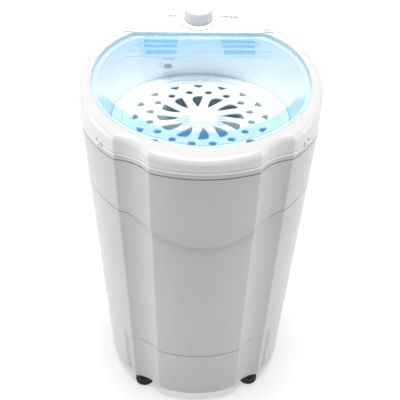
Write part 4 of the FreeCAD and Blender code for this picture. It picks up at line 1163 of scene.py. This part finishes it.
@dataclass
class Studio:
    """Pale floor, soft lights and the camera."""

    floor_half: float = 9.0
    floor_glow: float = 0.46
    backdrop_radius: float = 14.0
    world_strength: float = 0.03
    sky_strength: float = 3.5
    sky_spread: float = 32.0
    snoot_watts: float = 20.0
    snoot_angle: float = 17.0
    snoot_blend: float = 0.7
    snoot_size: float = 0.12
    snoot_place: tuple[float, float, float] = (0.0, -0.9, 1.8)
    snoot_aim: tuple[float, float, float] = (0.0, 0.13, 0.56)
    elevation: float = 35.87
    azimuth: float = -2.85
    roll: float = 1.59
    distance: float = 1.425
    target: tuple[float, float, float] = (0.00294, 0.0, 0.3331)
    lens: float = 74.63
    sensor: float = 36.0

    def build(self) -> None:
        """Make the floor, lights, world and camera."""
        self.floor()
        self.backdrop()
        self.world()
        self.sky()
        self.light("side_left", (-2.0, 0.1, 0.6), (0.0, 0.0, 0.35), 1.1, 14.5)
        self.light("side_right", (2.0, 0.1, 0.6), (0.0, 0.0, 0.35), 1.1, 10.0)
        self.snoot()
        self.camera()

    def floor(self) -> None:
        """Pale floor plane."""
        deselect()
        bpy.ops.mesh.primitive_plane_add(size=2 * self.floor_half, location=(0, 0, 0))
        floor = bpy.context.object
        floor.name = "studio_floor"
        graph = Graph("floor_white")
        shader = graph.node("ShaderNodeBsdfPrincipled", None, Base_Color=(0.55, 0.55, 0.55, 1.0),
                            Roughness=0.7, Specular_IOR_Level=0.1, Emission_Color=(1.0, 1.0, 1.0, 1.0),
                            Emission_Strength=self.floor_glow)
        floor.data.materials.append(graph.output(shader))

    def backdrop(self) -> None:
        """Pale dome far behind the floor; it is seen, and gives no light."""
        deselect()
        bpy.ops.mesh.primitive_uv_sphere_add(segments=48, ring_count=24, radius=self.backdrop_radius)
        dome = bpy.context.object
        dome.name = "studio_backdrop"
        graph = Graph("backdrop_white")
        dome.data.materials.append(graph.output(
            graph.node("ShaderNodeEmission", None, Color=(1.0, 1.0, 1.0, 1.0), Strength=1.0)))
        dome.visible_diffuse = dome.visible_glossy = dome.visible_shadow = False

    def world(self) -> None:
        """Even pale surroundings."""
        world = bpy.data.worlds.new("studio")
        world.use_nodes = True
        world.node_tree.nodes["Background"].inputs["Color"].default_value = (1.0, 1.0, 1.0, 1.0)
        world.node_tree.nodes["Background"].inputs["Strength"].default_value = self.world_strength
        bpy.context.scene.world = world

    def hang(self, lamp: bpy.types.Light, place: Sequence[float], aim: Sequence[float]) -> None:
        """Put a lamp at a place, looking at another."""
        holder = bpy.data.objects.new(lamp.name, lamp)
        holder.location = place
        holder.rotation_euler = (Vector(aim) - Vector(place)).to_track_quat("-Z", "Y").to_euler()
        bpy.context.scene.collection.objects.link(holder)

    def sky(self) -> None:
        """Very soft light from straight above, even over the whole floor."""
        lamp = bpy.data.lights.new("soft_sky", "SUN")
        lamp.energy = self.sky_strength
        lamp.angle = math.radians(self.sky_spread)
        holder = bpy.data.objects.new(lamp.name, lamp)
        bpy.context.scene.collection.objects.link(holder)

    def light(self, name: str, place: tuple[float, float, float], aim: tuple[float, float, float],
              size: float, watts: float) -> None:
        """Square soft light that looks at a place."""
        lamp = bpy.data.lights.new(name, "AREA")
        lamp.size = size
        lamp.energy = watts
        self.hang(lamp, place, aim)

    def snoot(self) -> None:
        """Narrow light from high in front that reaches the controls and the lid only."""
        lamp = bpy.data.lights.new("snoot", "SPOT")
        lamp.energy = self.snoot_watts
        lamp.spot_size = math.radians(self.snoot_angle)
        lamp.spot_blend = self.snoot_blend
        lamp.shadow_soft_size = self.snoot_size
        self.hang(lamp, self.snoot_place, self.snoot_aim)

    def camera(self) -> None:
        """Camera at a distance from its target, from an azimuth and elevation, with a slight roll."""
        turn, rise, roll = (math.radians(value) for value in (self.azimuth, self.elevation, self.roll))
        back = Vector((math.sin(turn) * math.cos(rise), -math.cos(turn) * math.cos(rise), math.sin(rise)))
        right = Vector((0, 0, 1)).cross(back).normalized()
        up = back.cross(right)
        turned_right = right * math.cos(roll) + up * math.sin(roll)
        turned_up = up * math.cos(roll) - right * math.sin(roll)
        place = Vector((0.0, 0.0, self.target[2])) + right * self.target[0] + back * self.distance
        data = bpy.data.cameras.new("camera")
        data.lens = self.lens
        data.sensor_width = self.sensor
        camera = bpy.data.objects.new("camera", data)
        facing = Matrix((turned_right, turned_up, back)).transposed().to_4x4()
        camera.matrix_world = Matrix.Translation(place) @ facing
        bpy.context.scene.collection.objects.link(camera)
        bpy.context.scene.camera = camera


def dress_frame(dresser: Dresser) -> None:
    """Give the CAD nodes that stay visible their finishes."""
    paint = dresser.paint
    finishes = (
        (paint.tub, "base_pan drain_spout spin_basket wash_cone"),
        (paint.black, "cable_gland capacitor timer_movement lid_switch lid_switch_lever"),
        (paint.steel, "foot_screws foot_nuts suspension_springs motor_bearing_low motor_bearing_high "
                      "drive_shaft brake_post hub_nut timer_spindle lid_hinge_pins cover_screws"),
        (paint.rubber, "spring_seats shaft_seal foot_front_left foot_front_right "
                       "foot_back_left foot_back_right"),
        (paint.zinc, "motor_plate motor_housing brake_lever capacitor_clip"),
        (paint.copper, "motor_stator motor_rotor"), (paint.alloy, "brake_drum basket_hub"),
        (paint.outer_tub, "tub"), (paint.disc, "tub_gasket rinse_spout"), (paint.cover, "dial_plate"))
    for finish, nodes in finishes:
        for node in nodes.split():
            dresser.repaint(node, finish)


def main() -> None:
    """Build the machine's looks piece by piece."""
    logging.basicConfig(level=logging.INFO, format="%(name)s %(message)s")
    bpy.context.scene.view_settings.view_transform = "Standard"
    dresser = Dresser(Paintbox())
    dress_frame(dresser)
    for assembly in (Case(dresser), Cover(dresser), Lid(dresser), Basket(dresser), Dial(dresser)):
        assembly.build()
        LOG.info("%s done", type(assembly).__name__)
    Studio().build()
    LOG.info("%d new pieces", dresser.shown)


if __name__ == "__main__":
    main()
